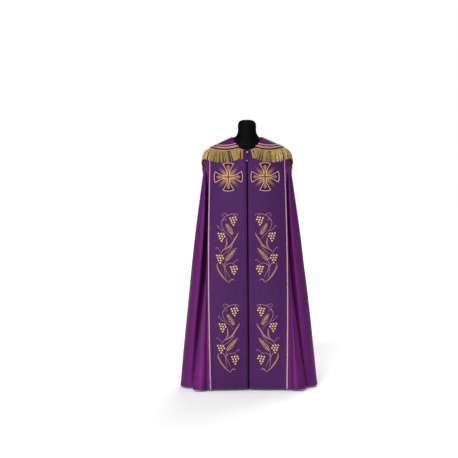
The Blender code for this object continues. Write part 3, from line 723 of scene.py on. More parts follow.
def dotted(name, points, out, ahead, size, tree, look, slot, **values):
    """One padded thing on every point, standing out of the cloth and turned ahead."""
    seed = mesh_of(name, points)
    add_attribute(seed, "out", out)
    add_attribute(seed, "ahead", ahead)
    add_attribute(seed, "size", np.broadcast_to(size, len(points)))
    mesh = grown(name, seed, tree, look, **values)
    return keep(name, mesh, smooth_under=ROUND_ANGLE)


# ================ finishes
def new_material(name):
    material = bpy.data.materials.new(f"{name}_look")
    material.use_nodes = True
    return material, material.node_tree, material.node_tree.nodes["Principled BSDF"]


# A satin's light and deep tones, its share of coloured shine and its roughness.
Satin = namedtuple("Satin", "light deep gloss roughness")
SATINS = {
    "mantle_satin": Satin((104, 39, 106), (85, 29, 88), 0.35, 0.42),
    # The hood's satin is the mantle's painted darker: painted shade that holds down the light from
    # above on the hood.
    "hood_satin": Satin((88, 30, 84), (72, 23, 70), 0.28, 0.44),
    "orphrey_satin": Satin((73, 37, 86), (61, 30, 74), 0.20, 0.46),
    # The tab's satin is the mantle's painted darker: painted shade between the fringe's ends.
    "tab_satin": Satin((70, 30, 72), (56, 22, 58), 0.25, 0.44),
}
# A thread's light and deep tones, the pitch of its turns and their slant, its roughness, its
# share of metal and the strength of its shine.
Thread = namedtuple("Thread", "light deep pitch slant roughness metal shine", defaults=(0.0, 0.5))
THREADS = {
    "maroon_filling": Thread((80, 29, 56), (52, 15, 40), 0.0011, 0.3, 0.6, shine=0.05),
    "maroon_ribbon": Thread((74, 20, 44), (46, 10, 30), 0.0010, 0.2, 0.6, shine=0.05),
    "pink_braid": Thread((226, 186, 196), (160, 112, 128), 0.0012, 0.6, 0.45, 0.1),
    "hood_braid": Thread((222, 170, 182), (152, 104, 118), 0.0012, 0.6, 0.5, 0.1),
    "galloon": Thread((138, 86, 84), (92, 50, 56), 0.0011, 0.8, 0.5, 0.1),
    "galloon_scroll": Thread((224, 182, 162), (160, 114, 104), 0.0009, 0.8, 0.45, 0.1),
    "gold_fringe": Thread((214, 183, 106), (126, 98, 50), 0.0016, 1.0, 0.45, 0.2),
    # The fringe's gold is painted lighter for its outer strands and darker for its under strands:
    # painted light and painted shade by how deep they hang.
    "gold_fringe_light": Thread((228, 200, 124), (144, 114, 60), 0.0016, 1.0, 0.42, 0.2),
    "gold_fringe_under": Thread((104, 78, 38), (56, 38, 22), 0.0016, 1.0, 0.6, shine=0.1),
    "pale_gold_thread": Thread((246, 208, 216), (188, 140, 152), 0.0009, 0.5, 0.42, 0.1),
    "bright_gold_thread": Thread((248, 206, 126), (198, 148, 76), 0.0009, 0.5, 0.38, 0.3),
    "bronze_thread": Thread((188, 142, 100), (124, 82, 60), 0.0009, 0.6, 0.45, 0.15),
    "wheat_thread": Thread((250, 210, 142), (184, 134, 76), 0.0009, 0.6, 0.42, 0.15),
    "leaf_thread": Thread((188, 140, 110), (124, 82, 64), 0.0010, 0.6, 0.45, 0.1),
    "stem_thread": Thread((176, 128, 134), (112, 74, 90), 0.0008, 0.5, 0.48, 0.1),
    "ray_thread": Thread((164, 124, 78), (108, 76, 50), 0.0009, 0.6, 0.45, 0.1),
    "beam_thread": Thread((166, 118, 88), (112, 74, 62), 0.0009, 0.6, 0.45, 0.1),
    "neck_thread": Thread((132, 92, 56), (92, 58, 42), 0.0009, 0.6, 0.5, shine=0.2),
    "faint_ray_thread": Thread((118, 72, 78), (88, 48, 64), 0.0009, 0.6, 0.55, shine=0.2),
    "berry_thread": Thread((255, 226, 190), (222, 166, 116), 0.0010, 0.4, 0.4, 0.15),
    # A low disc under each berry, dark where it shows between them: painted shade between the
    # berries.
    "berry_ground": Thread((92, 42, 26), (56, 22, 22), 0.0012, 0.4, 0.55, 0.05),
    "seam_thread": Thread((70, 34, 74), (44, 18, 48), 0.0009, 0.5, 0.5),
}


def satin_material(name, satin):
    """Satin cloth read in metres from its UV map."""
    material, tree, shader = new_material(name)
    uv = output_of(tree, "ShaderNodeUVMap", uv_map="cloth")
    weave = add_node(
        tree, "ShaderNodeGroup",
        {"Vector": uv, "Light": colour(*satin.light), "Deep": colour(*satin.deep),
         "Sheen": satin.roughness},
        node_tree=SATIN,
    ).outputs
    feed(tree, shader, {
        "Base Color": weave["Color"],
        "Roughness": weave["Roughness"],
        "Metallic": satin.gloss,
        "Specular IOR Level": 0.04,
        "Normal": bumped(tree, weave["Height"], 0.10, 0.0006),
    })
    return material


def thread_material(name, thread):
    """Thread that follows its piece's own along and across attributes, in metres."""
    material, tree, shader = new_material(name)
    along, across = (
        add_node(tree, "ShaderNodeAttribute", attribute_name=way).outputs["Fac"]
        for way in ("along", "across")
    )
    laid = add_node(
        tree, "ShaderNodeGroup",
        {"Along": along, "Across": across, "Pitch": thread.pitch, "Slant": thread.slant,
         "Light": colour(*thread.light), "Deep": colour(*thread.deep)},
        node_tree=THREAD,
    ).outputs
    feed(tree, shader, {
        "Base Color": laid["Color"],
        "Roughness": thread.roughness,
        "Metallic": thread.metal,
        "Specular IOR Level": thread.shine,
        "Normal": bumped(tree, laid["Height"], 0.5, 0.0004),
    })
    return material


def metal_material(name, tone, roughness):
    """Bare metal with fine scratches."""
    material, tree, shader = new_material(name)
    scratches = noise(tree, object_place(tree), 900.0, 2.0)
    feed(tree, shader, {
        "Base Color": colour(*tone),
        "Roughness": maths(tree, "MULTIPLY_ADD", scratches, 0.16, roughness),
        "Metallic": 1.0,
    })
    return material


def jersey_material(name):
    """Black jersey drawn tight over the form, with its fine ribs."""
    material, tree, shader = new_material(name)
    place = object_place(tree)
    ribs = add_node(
        tree, "ShaderNodeTexWave", {"Vector": place, "Scale": 160.0, "Distortion": 0.6},
        bands_direction="Z",
    ).outputs["Fac"]
    patches = noise(tree, place, 14.0, 3.0)
    feed(tree, shader, {
        "Base Color": mixed(tree, patches, colour(9, 9, 8), colour(4, 4, 4)),
        "Roughness": maths(tree, "MULTIPLY_ADD", patches, 0.12, 0.46),
        "Specular IOR Level": 0.03,
        "Normal": bumped(tree, ribs, 0.15, 0.0004),
    })
    return material


def enamel_material(name):
    """Black stove enamel on the pole and the base, dulled here and there."""
    material, tree, shader = new_material(name)
    place = object_place(tree)
    clouds = noise(tree, place, 30.0, 4.0)
    feed(tree, shader, {
        "Base Color": mixed(tree, clouds, colour(20, 20, 21), colour(30, 30, 32)),
        "Roughness": maths(tree, "MULTIPLY_ADD", clouds, 0.2, 0.25),
        "Normal": bumped(tree, noise(tree, place, 420.0, 1.0), 0.12, 0.0003),
    })
    return material


LOOKS = {name: satin_material(name, satin) for name, satin in SATINS.items()}
LOOKS |= {name: thread_material(name, thread) for name, thread in THREADS.items()}
LOOKS["clasp_metal"] = metal_material("clasp_metal", (168, 160, 162), 0.30)
LOOKS["neck_rim"] = metal_material("neck_rim", (92, 90, 88), 0.22)
LOOKS["form_jersey"] = jersey_material("form_jersey")
LOOKS["form_stand"] = enamel_material("form_stand")


# ================ the mantle and orphreys
FOLDS = [(fold, 1) for fold in LEFT_FOLDS] + [(fold, -1) for fold in reversed(RIGHT_FOLDS)]
FOLD_BEARINGS = np.array([fold.bearing * side for fold, side in FOLDS])
LEAST_COLUMNS = 4
CREASE_FADE = 0.22          # part of the fall over which a crease comes and goes
CREASES_FROM = -0.3         # what the neck counts as, where 0 to 1 is the free fall
# The mantle's slow unevenness: its depth, how many waves go round the cope and how many
# degrees they are moved on, how fast it changes down the fall, and where that starts.
UNEVENNESS = ((0.0016, 9.0, 0.0, 7.0, 1.0), (0.0007, 23.0, 40.0, 13.0, 0.0))


def fold_index(name, side):
    names = [fold.name for fold in (LEFT_FOLDS if side > 0 else RIGHT_FOLDS)]
    place = names.index(name)
    return place if side > 0 else len(FOLDS) - 1 - place


def row_bearings(bearings, down):
    """Bearings of the fold lines on one shoulder row, turned so that the orphreys run straight."""
    outer = LEFT_FOLDS[fold_index("orphrey_outer", 1)]
    half_width = through(RING_DOWN, RINGS, np.array([max(down, STRAIGHT_FROM)]))[0, 0]
    edge = math.degrees(math.asin((outer.hem_x / half_width) ** (1 / ROUNDNESS)))
    turned_to = np.interp(np.abs(bearings), (0, outer.bearing, 90, 180), (0, edge, 90, 180))
    return np.radians(turned_to) * np.sign(bearings)


def fold_lines(downs, parts):
    """Every fold's line over the shoulder rows and then down the free fall."""
    hem = np.array([(fold.hem_x * side, fold.hem_y) for fold, side in FOLDS])
    late = np.array([fold.late for fold, _ in FOLDS])
    drawn = np.array([(-fold.drawn_in * side, fold.drawn_back) for fold, side in FOLDS])
    top = on_cloth(row_bearings(FOLD_BEARINGS, FREE_FALL), FREE_FALL)
    rows = [on_cloth(row_bearings(FOLD_BEARINGS, down), down) for down in downs]
    for part in parts:
        opened = (part**late)[:, None]
        flat = top[:, :2] + (hem - top[:, :2]) * opened
        flat += drawn * math.sin(math.pi * part**DRAWN_HIGH)
        bow = SIDE_BOW * math.sin(math.pi * part)
        flat[:, 0] += bow * np.clip(flat[:, 0] / BOW_WHOLE_FROM, -1.0, 1.0)
        height = top[:, 2] + (HEM_HEIGHT - top[:, 2]) * part
        rows.append(np.column_stack([flat, height]))
    return np.stack(rows)


def smooth_step(value):
    held = np.clip(value, 0.0, 1.0)
    return held * held * (3 - 2 * held)


def crease_depths(bearing, part):
    """How far in each point goes for the mantle's creases, and for its slow unevenness."""
    depth = np.zeros((len(part), len(bearing)))
    for crease in CREASES:
        middle = crease.bearing + crease.drift * (part[:, None] - 0.5) * 2
        rise = smooth_step((part - crease.start) / CREASE_FADE)
        fall = smooth_step((crease.end - part) / CREASE_FADE)
        trough = np.exp(-(((bearing - middle) / crease.spread) ** 2))
        depth += crease.depth * (rise * fall)[:, None] * trough
    uneven = 0.0
    for deep, waves, turned, pace, begun in UNEVENNESS:
        around = np.sin(np.radians(bearing * waves + turned))
        uneven = uneven + deep * (around[None, :] * np.sin(part * pace + begun)[:, None])
    return depth + np.clip(part, 0.0, 1.0)[:, None] * uneven


def wave_depths(across, part):
    """The slight waves of the stiffened orphreys, and the roll of their front edges."""
    depth = np.zeros((len(part), len(across)))
    for wave in ORPHREY_WAVES:
        down = np.exp(-(((part - wave.middle) / wave.reach) ** 2))
        depth += wave.depth * down[:, None] * np.exp(-(((across - wave.across) / wave.spread) ** 2))
    edge = np.clip(1 - across / EDGE_ROLL_WIDTH, 0.0, 1.0) ** 2
    return depth * np.clip(part, 0.0, 1.0)[:, None] + EDGE_ROLL * edge


class Mantle:
    """The folded cope as one fine grid: rows from neck to hem, columns from edge to edge."""

    def __init__(self):
        downs = np.linspace(0.0, FREE_FALL, SHOULDER_STEPS, endpoint=False)
        fall = np.linspace(0.0, 1.0, FALL_STEPS + 1)
        lines = fold_lines(downs, fall)
        knots = lengths_along(lines[-1])
        counts = np.maximum(np.round(np.diff(knots) / COLUMN_SPACING).astype(int), LEAST_COLUMNS)
        self.at_fold = np.concatenate([[0], np.cumsum(counts)])
        places = np.interp(np.arange(self.at_fold[-1] + 1), self.at_fold, knots)
        grid = np.moveaxis(through(knots, np.moveaxis(lines, 1, 0), places), 0, 1)
        shoulders = np.linspace(CREASES_FROM, 0.0, SHOULDER_STEPS, endpoint=False)
        round_it = np.where(FOLD_BEARINGS < 0, FOLD_BEARINGS + 360, FOLD_BEARINGS)
        bearing = np.interp(places, knots, round_it)
        depths = self.depths(places, bearing, np.concatenate([shoulders, fall]))
        self.grid = grid - grid_normals(grid) * depths[..., None]
        self.normals = grid_normals(self.grid)

    def depths(self, places, bearing, part):
        left = self.column("orphrey_outer", 1)
        right = self.column("orphrey_outer", -1)
        depths = crease_depths(bearing, part)
        depths[:, : left + 1] = wave_depths(places[: left + 1], part)
        depths[:, right:] = wave_depths(places[-1] - places[right:], part)
        return depths

    def column(self, name, side):
        return self.at_fold[fold_index(name, side)]

    def piece(self, first, last):
        """Columns first to last, drawn in at both ends so that neighbours stay parted."""
        part = self.grid[:, first : last + 1].copy()
        for end, inner in ((0, 1), (-1, -2)):
            part[:, end] += unit(part[:, inner] - part[:, end]) * SEAM / 2
        return part, self.normals[:, first : last + 1]


# The flat cut of a cloth, in metres: its greatest width and length, and its area.
Cut = namedtuple("Cut", "width length area")
CUT_STEP = 10               # every so many rows and columns are measured


def cut_of(grid):
    """The cut of a cloth whose rows of points run across it."""
    width = max(lengths_along(row)[-1] for row in grid[::CUT_STEP])
    length = max(lengths_along(line)[-1] for line in grid.transpose(1, 0, 2)[::CUT_STEP])
    down, on = np.diff(grid, axis=0)[:, :-1], np.diff(grid, axis=1)[:-1]
    area = np.linalg.norm(np.cross(down, on), axis=-1).sum()
    return Cut(round(float(width), 3), round(float(length), 3), round(float(area), 4))


def make_mantle(mantle):
    """The six panels, each with its flat cut."""
    bounds = [
        0, mantle.column("orphrey_outer", 1), mantle.column("outer_ridge", 1),
        mantle.column("back_valley", 1), mantle.column("outer_ridge", -1),
        mantle.column("orphrey_outer", -1), mantle.at_fold[-1],
    ]
    names = ("orphrey_left", "mantle_side_left", "mantle_back_left", "mantle_back_right",
             "mantle_side_right", "orphrey_right")
    made, cuts = {}, {}
    for name, first, last in zip(names, bounds, bounds[1:]):
        satin = "orphrey_satin" if name.startswith("orphrey") else "mantle_satin"
        part, normals = mantle.piece(first, last)
        made[name] = cloth_piece(f"{name}_cloth", part, normals, CLOTH, satin, (name,))
        cuts[name] = cut_of(part)
    return made, cuts


# ================ bands of braid
Band = namedtuple("Band", "points normals run")
WAY_STEP = 0.001            # on and back, to find the way that a band runs
EDGE_STEP = 0.006           # between the points of a cord along a band's edge
EDGE_LEAST = 8              # points, on a short band
PLAIT_PITCH = 0.0034
PLAIT_ROWS = ((-0.46, 0.0), (0.46, 0.5))    # part of the half width, part of the pitch moved on
PLAIT_LEAN = 0.9            # how far its grains turn aside for what they go ahead
PLAIT_GRAIN = (0.60, 0.78)  # length in band widths, and width in pitches
PLAIT_HEIGHT = 0.0011
BRAID_EDGE = 0.0007         # radius of the cord along an orphrey braid's edges


def band_of(points, normals):
    """A band whose rows run along it, with the running length of its middle row."""
    return Band(points, normals, lengths_along(points[len(points) // 2]))


def between(grid, row, column):
    """The grid read at broken rows and columns."""
    low_row = np.clip(np.floor(row).astype(int), 0, grid.shape[0] - 2)
    low_column = np.clip(np.floor(column).astype(int), 0, grid.shape[1] - 2)
    down = (row - low_row)[..., None]
    on = (column - low_column)[..., None]
    return (
        grid[low_row, low_column] * (1 - down) * (1 - on)
        + grid[low_row + 1, low_column] * down * (1 - on)
        + grid[low_row, low_column + 1] * (1 - down) * on
        + grid[low_row + 1, low_column + 1] * down * on
    )


def on_band(band, along, aside):
    """Points, normals and the ways ahead and aside, at lengths and parts of the half width."""
    along, aside = np.broadcast_arrays(np.asarray(along, float), np.asarray(aside, float))
    row = (aside + 1) / 2 * (len(band.points) - 1)
    column, further, nearer = (
        np.interp(along + step, band.run, np.arange(len(band.run)))
        for step in (0.0, WAY_STEP, -WAY_STEP)
    )
    point = between(band.points, row, column)
    normal = unit(between(band.normals, row, column))
    ahead = unit(between(band.points, row, further) - between(band.points, row, nearer))
    return point, normal, ahead, unit(np.cross(normal, ahead))


def band_edges(name, band, lift, radius, look, parts=(-1.0, 1.0)):
    """A fine cord along each edge of a band."""
    steps = max(round(band.run[-1] / EDGE_STEP), EDGE_LEAST)
    along = np.linspace(band.run[0], band.run[-1], steps)
    lines = []
    for part in parts:
        point, normal, _, _ = on_band(band, along, part)
        lines.append(point + normal * lift)
    return strands(name, lines, radius, look)


def plait(name, band, lift, look, slot):
    """Two rows of slanting grains, as a flat plait shows them."""
    steps = np.arange(band.run[0] + PLAIT_PITCH, band.run[-1] - PLAIT_PITCH / 2, PLAIT_PITCH)
    points, outs, aheads = [], [], []
    for part, offset in PLAIT_ROWS:
        point, normal, ahead, side = on_band(band, steps + offset * PLAIT_PITCH, part)
        points.append(point + normal * lift)
        outs.append(normal)
        aheads.append(unit(ahead - side * math.copysign(PLAIT_LEAN, part)))
    widths = np.linalg.norm(band.points[-1] - band.points[0], axis=-1)
    width = np.median(widths)
    sizes = np.minimum(np.interp(steps, band.run, widths) / width, 1.0)
    return dotted(
        name, np.concatenate(points), np.concatenate(outs), np.concatenate(aheads),
        np.tile(sizes, 2), GRAINS, look, slot, Length=width * PLAIT_GRAIN[0],
        Width=PLAIT_PITCH * PLAIT_GRAIN[1], Height=PLAIT_HEIGHT, Sides=5, Rings=3,
    )


def make_orphrey_braids(mantle):
    """The narrow braid down each orphrey's outer edge: its ground, its plait and its cords."""
    made = {}
    for side, word in SIDES:
        ends = sorted((mantle.column("braid_inner", side), mantle.column("orphrey_outer", side)))
        part, normals = mantle.piece(*ends)
        name = f"orphrey_braid_{word}"
        lift = SEAM + TRIM
        ground = cloth_piece(f"{name}_ground", part, normals, TRIM, "pink_braid",
                             (name,), lift)
        band = band_of(part.transpose(1, 0, 2), normals.transpose(1, 0, 2))
        made[word] = (
            ground,
            plait(f"{name}_plait", band, lift, "pink_braid", "gold_braid"),
            band_edges(f"{name}_edges", band, lift, BRAID_EDGE, "pink_braid"),
        )
    return made


# ================ the hood and its bands
FINE_EDGE = 240             # steps of the fine line that distances are taken from
HALVINGS = 20               # how often a place inside the edge is closed in on
BAND_COLUMNS = 300          # on each side
BAND_SHOWS = 0.0025         # way down from which a band clears the neckline
BAND_LEAST = 0.0006         # what is left of its width up there
PATTERN_SHARE = 0.3         # of its width there, that still shows its pattern
RIBBON = 0.0003
GALLOON_SELVEDGE = 0.0026
# A band of the hood: its name, inset from the hood's edge, width, rows, thickness, thread,
# slot and the node that it stands for. Maroon ribbons edge the galloon, whose ground is last.
HOOD_BANDS = (
    ("hood_ribbon_1", 0.0006, 0.0056, 3, RIBBON, "maroon_ribbon", "galloon", ()),
    ("hood_ribbon_2", 0.0238, 0.0064, 3, RIBBON, "maroon_ribbon", "galloon", ()),
    ("hood_braid_ground", BRAID_INSET, BRAID_WIDTH, 5, TRIM, "hood_braid", "gold_braid",
     ("hood_braid",)),
    ("hood_galloon_outer_selvedge", GALLOON_INSET, GALLOON_SELVEDGE, 5, TRIM, "maroon_ribbon",
     "galloon", ("hood_galloon",)),
    ("hood_galloon_inner_selvedge", GALLOON_INSET + (GALLOON_WIDTH - GALLOON_SELVEDGE),
     GALLOON_SELVEDGE, 5, TRIM, "maroon_ribbon", "galloon", ("hood_galloon",)),
    ("hood_galloon_ground", GALLOON_INSET + GALLOON_SELVEDGE,
     GALLOON_WIDTH - 2 * GALLOON_SELVEDGE, 5, TRIM, "galloon", "galloon", ("hood_galloon",)),
)
HOOD_BRAID_EDGE = 0.0006    # radius of the cord along the braid's edges
GALLOON_EDGE = 0.0010       # and of the ones just inside the galloon's
GALLOON_EDGES_AT = (-0.92, 0.92)        # half widths of its ground
SCROLL_PITCH = 0.0095
SCROLL_LENGTH = 0.009
SCROLL_POINTS = 13
SCROLL_SWING = 0.0016       # how far its turns swing on and back
SCROLL_REACH = (0.56, 0.14)     # aside, in half widths: its bends, and their curl
SCROLL_RADIUS = 0.0011
SCROLL_LIFT = 0.0002


def hood_edge(count):
    """The hood's edge on one side, as count + 1 evenly spaced bearings and ways down."""
    table = np.array(HOOD_EDGE)
    table[:, 0] = np.radians(table[:, 0])
    knots = lengths_along(on_cloth(table[:, 0], table[:, 1]))
    fine = through(knots, table, np.linspace(0.0, knots[-1], 4 * FINE_EDGE))
    run = lengths_along(on_cloth(fine[:, 0], fine[:, 1]))
    places = np.linspace(0.0, run[-1], count + 1)
    return np.interp(places, run, fine[:, 0]), np.interp(places, run, fine[:, 1])


def distance_to_line(points, line):
    """Shortest distance from each point to a line of straight pieces."""
    start, way = line[:-1], np.diff(line, axis=0)
    offset = points[..., None, :] - start
    part = np.clip(dot(offset, way) / dot(way, way), 0.0, 1.0)
    return np.min(np.linalg.norm(offset - part[..., None] * way, axis=-1), axis=-1)


def hood_row(bearing, edge_down, edge_line, inset):
    """Way down to the line that runs an inset inside the edge; 0 where it has left the hood."""
    low, high = np.zeros_like(edge_down), edge_down.copy()
    for _ in range(HALVINGS):
        middle = (low + high) / 2
        outside = distance_to_line(on_cloth(bearing, middle), edge_line) < inset
        high = np.where(outside, middle, high)
        low = np.where(outside, low, middle)
    return low


def both_sides(bearing, *values):
    """Carry one side's columns on round the back to the other side's front end."""
    whole = [np.concatenate([bearing, 2 * math.pi - bearing[-2::-1]])]
    for value in values:
        whole.append(np.concatenate([value, value[..., -2::-1]], axis=-1))
    return whole


def raised_cloth(bearing, down, lift):
    """Points a lift above the smooth cloth, with their normals."""
    bearing, down = np.broadcast_arrays(bearing, down)
    _, _, normal = cloth_slopes(bearing, down)
    return on_cloth(bearing, down) + normal * lift, normal


def hood_band(inset, width, rows):
    """A band inside the hood's edge, cut where it runs under the neckline."""
    bearing, edge_down = hood_edge(BAND_COLUMNS)
    edge_line = on_cloth(*hood_edge(FINE_EDGE))
    insets = inset + width * np.linspace(1.0, 0.0, rows)
    downs = np.stack([hood_row(bearing, edge_down, edge_line, each) for each in insets])
    bearing, downs = both_sides(bearing, downs)
    shown = np.flatnonzero(downs[-1] > BAND_SHOWS)
    columns = slice(shown[0], shown[-1] + 1)
    downs = np.maximum(downs[:, columns], np.linspace(0.0, BAND_LEAST, rows)[:, None])
    return bearing[columns], downs, downs[-1] - downs[0] > PATTERN_SHARE * width


def galloon_scrolls(band):
    """A lying S between the galloon's edges, over and over."""
    turn = np.linspace(0.0, 1.0, SCROLL_POINTS)
    along = np.arange(band.run[0] + SCROLL_PITCH, band.run[-1] - SCROLL_PITCH, SCROLL_PITCH)
    lean = (turn - 0.5) * SCROLL_LENGTH + SCROLL_SWING * np.sin(turn * 2 * math.pi)
    bend, curl = SCROLL_REACH
    aside = bend * np.cos(turn * math.pi) + curl * np.sin(turn * 3 * math.pi)
    point, normal, _, _ = on_band(band, along[:, None] + lean, aside)
    return strands("hood_galloon_scrolls", point + normal * SCROLL_LIFT, SCROLL_RADIUS,
                   "galloon_scroll")


def make_hood():
    """The hood and all that is sewn along its edge."""
    bearing, edge_down = both_sides(*hood_edge(HOOD_COLUMNS))
    downs = np.linspace(0.0, 1.0, HOOD_STEPS + 1)[:, None] * edge_down
    points, normals = raised_cloth(bearing, downs, HOOD_LIFT)
    made = [
        # The hood's satin is painted darker than the mantle's: painted shade.
        cloth_piece("hood_cloth", points, normals, CLOTH, "hood_satin", ("hood",))
    ]
    for name, inset, width, rows, thickness, look, slot, stands_for in HOOD_BANDS:
        bearing, downs, whole = hood_band(inset, width, rows)
        points, normals = raised_cloth(bearing, downs, HOOD_LIFT + SEAM + thickness)
        made.append(cloth_piece(name, points, normals, thickness, look, stands_for))
        band = band_of(points[:, whole], normals[:, whole])
        if name == "hood_braid_ground":
            made += [
                plait("hood_braid_plait", band, 0.0, look, slot),
                band_edges("hood_braid_edges", band, 0.0, HOOD_BRAID_EDGE, look),
            ]
    return made + [
        band_edges("hood_galloon_edges", band, 0.0, GALLOON_EDGE, "galloon_scroll",
                   GALLOON_EDGES_AT),
        galloon_scrolls(band),
    ]


# ================ the fringe
# A layer of strands: the part of the spacing by which it is moved on, its height above the
# smooth cloth at the root, the middle and the end, its share of the full length and of the
# strands, how far a strand is drawn to the middle of its clump, and its thread.
Layer = namedtuple("Layer", "name moved root middle end length share pull thread")
# The over layer's thread is painted light and the under layer's painted shade, by how deep in the
# fringe they lie.
STRAND_LAYERS = (
    Layer("under", 0.0, 0.0038, 0.0030, 0.0022, 0.95, 1.0, 0.08, "gold_fringe_under"),
    Layer("middle", 0.5, 0.0050, 0.0052, 0.0042, 0.98, 0.9, 0.38, "gold_fringe"),
    Layer("over", 0.25, 0.0060, 0.0078, 0.0066, 1.0, 0.6, 0.46, "gold_fringe_light"),
)
STRAND_SEED = 7
HEADING_WALK, STRAND_WALK = 2, 5        # steps in which their ways over the cloth are found
STRAND_RADIUS = 0.00112
STRAND_TAPER = ((0.0, 0.3, 1.0), (0.8, 1.0, 0.75))      # parts of a strand, share of the radius
CLUMP_LEAST, CLUMP_MOST = 3.0, 8.0      # strands that lean together
CLUMP_SWAY = 0.0024
CLUMP_REACH = 0.012         # the farthest that a strand is drawn aside
GATHERED = 0.8              # below 1, strands draw together early on their way down
TUFT = 2.4                  # strands of the upper layers that lie together
OUTWARD_EASE = 0.03         # stretch of the edge over which the strands' lean is evened out
# How unevenly strands are set, clumped, hung, cut and raised.
UNEVEN_PLACE, UNEVEN_CLUMP, UNEVEN_HANG = 0.3, 0.5, 0.035
UNEVEN_CUT = (-0.09, 0.04)
UNEVEN_RISE = 0.0005
# In front the fringe is trimmed to a shallow curve: away from the middle, added length.
FRONT_TRIM = (
    (0.02, -0.011), (0.07, -0.003), (0.13, 0.008), (0.18, 0.008), (0.24, 0.0),
)


def eased(values, reach):
    """Each row evened out with its neighbours, a reach of them on each side."""
    weights = np.hanning(2 * reach + 3)[1:-1]
    padded = np.pad(values, ((reach, reach), (0, 0)), mode="edge")
    weights /= weights.sum()
    return np.stack([np.convolve(row, weights, "valid") for row in padded.T], axis=-1)


def read_at(places, values):
    """Rows of values read at broken places."""
    columns = np.arange(len(values))
    return np.stack([np.interp(places, columns, row) for row in values.T], axis=-1)


def beside_arm(bearing):
    """1 where the fringe flares most, falling to 0 in front and behind."""
    towards_back = np.degrees(math.pi - np.abs(math.pi - bearing))
    return np.exp(-(((towards_back - FLARE_BEARING) / FLARE_SPREAD) ** 2))


def strand_lengths(layer, roots, bearing, chance):
    """How long the strands are cut, by where they hang."""
    length = FRINGE_LENGTH * layer.length * (1 + chance.uniform(*UNEVEN_CUT, len(roots)))
    length = length + FRINGE_DROP * beside_arm(bearing)
    trimmed = np.interp(np.abs(roots[:, 0]), *zip(*FRONT_TRIM))
    return length + np.where(roots[:, 1] < 0, trimmed, 0.0)


def make_fringe():
    """A corded heading round the hood's edge, with strands that hang and part in clumps."""
    run = lengths_along(on_cloth(*hood_edge(FINE_EDGE)))[-1]
    bearing, down = both_sides(*hood_edge(round(run / STRAND_SPACING)))
    line = on_cloth(bearing, down)
    _, _, normal = cloth_slopes(bearing, down)
    outward = unit(np.cross(normal, np.gradient(line, axis=0)))
    outward *= np.sign(np.sum(outward * (line - line.mean(axis=0)), -1).mean())
    lean = unit(eased(outward, round(OUTWARD_EASE / STRAND_SPACING)))
    along = unit(np.gradient(line, axis=0))

    across = np.linspace(FRINGE_GAP, FRINGE_GAP + FRINGE_HEADING, 4)
    rows = [walk(bearing, down, outward, step, HEADING_WALK) for step in across]
    points, normals = (np.stack(sides) for sides in zip(
        *(raised_cloth(*row, HOOD_LIFT) for row in rows)
    ))
    made = [
        cloth_piece("fringe_heading", points, normals, CLOTH, "gold_fringe",
                    ("fringe",)),
        plait("fringe_heading_plait", band_of(points, normals), 0.0, "galloon_scroll", "galloon"),
    ]

    chance = np.random.default_rng(STRAND_SEED)
    total = len(bearing) - 1
    root_line = np.stack(rows[-1], axis=-1)
    clump_ends = np.cumsum(chance.uniform(CLUMP_LEAST, CLUMP_MOST, total // 3))
    sways = chance.normal(0.0, CLUMP_SWAY, len(clump_ends))
    steps = np.linspace(0.0, 1.0, STRAND_STEPS + 1)
    for layer in STRAND_LAYERS:
        place = np.arange(total) + layer.moved + chance.uniform(-UNEVEN_PLACE, UNEVEN_PLACE, total)
        tufts = chance.random(total + 1)[(place / TUFT).astype(int)]
        place = place[tufts <= layer.share]
        count = len(place)
        starts = read_at(place, root_line).T
        hang = read_at(place, lean) * FRINGE_SPREAD + np.array([0.0, 0.0, -1.0])
        hang += chance.normal(0.0, UNEVEN_HANG, (count, 3))
        length = strand_lengths(layer, on_cloth(*starts), starts[0], chance)
        clump = np.searchsorted(
            clump_ends, place + chance.uniform(-UNEVEN_CLUMP, UNEVEN_CLUMP, count)
        )
        clump = np.clip(clump, 1, len(clump_ends) - 1)
        middle = np.clip((clump_ends[clump - 1] + clump_ends[clump]) / 2, 0.0, total)
        gather = read_at(middle, line) - read_at(place, line)
        gather = np.clip(gather, -CLUMP_REACH, CLUMP_REACH) * layer.pull
        gather += read_at(place, along) * sways[clump][:, None]
        flare = FRINGE_FLARE * beside_arm(starts[0])
        lifts = np.interp(steps, (0.0, 0.5, 1.0), (layer.root, layer.middle, layer.end))
        rings = []
        for part, lift in zip(steps, lifts):
            way = (length * part)[:, None]
            spot = walk(*starts, hang, way, STRAND_WALK) if part else starts
            point, normal = raised_cloth(*spot, 0.0)
            off = math.sin(math.pi / 2 * min(part / FLARE_RISE, 1.0))
            stand = lift + flare * off + chance.normal(0.0, UNEVEN_RISE, count) * part
            rings.append(point + normal * stand[:, None] + gather * part**GATHERED)
        made.append(strands(
            f"fringe_strands_{layer.name}", np.stack(rings, axis=1),
            STRAND_RADIUS * np.interp(steps, *STRAND_TAPER), layer.thread, 4,
        ))
    return made


# ================ tab, clasps and form
TAB_ROWS, TAB_COLUMNS = 29, 17
STITCH_INSET = 2            # rows and columns from the tab's edge to its line of stitching
STITCH_RADIUS = 0.0004
# A clasp's section from its rim to its middle: share of its radius, share of its thickness.
CLASP_PROFILE = (
    (0.90, 0.00), (1.00, 0.18), (1.02, 0.34), (0.97, 0.50), (0.86, 0.52),
    (0.78, 0.46), (0.66, 0.62), (0.45, 0.84), (0.22, 0.96), (0.08, 1.00),
)
CLASP_SIDES = 32
FORM_STEPS = 6              # between two rings of the form
# A glossy beading where the neck's cap begins.
NECK_RIM_RADIUS = 0.0548
NECK_RIM_DEPTH = 0.0536
NECK_RIM_HEIGHT = 1.592
NECK_RIM_THICK = 0.0030
OPENING_POINTS = 60         # down the opening's edge


def front_depth(height):
    """Y of the opening's edge at a height."""
    line = on_cloth(0.0, np.linspace(0.0, FREE_FALL, OPENING_POINTS))
    return np.interp(-np.asarray(height), -line[:, 2], line[:, 1])


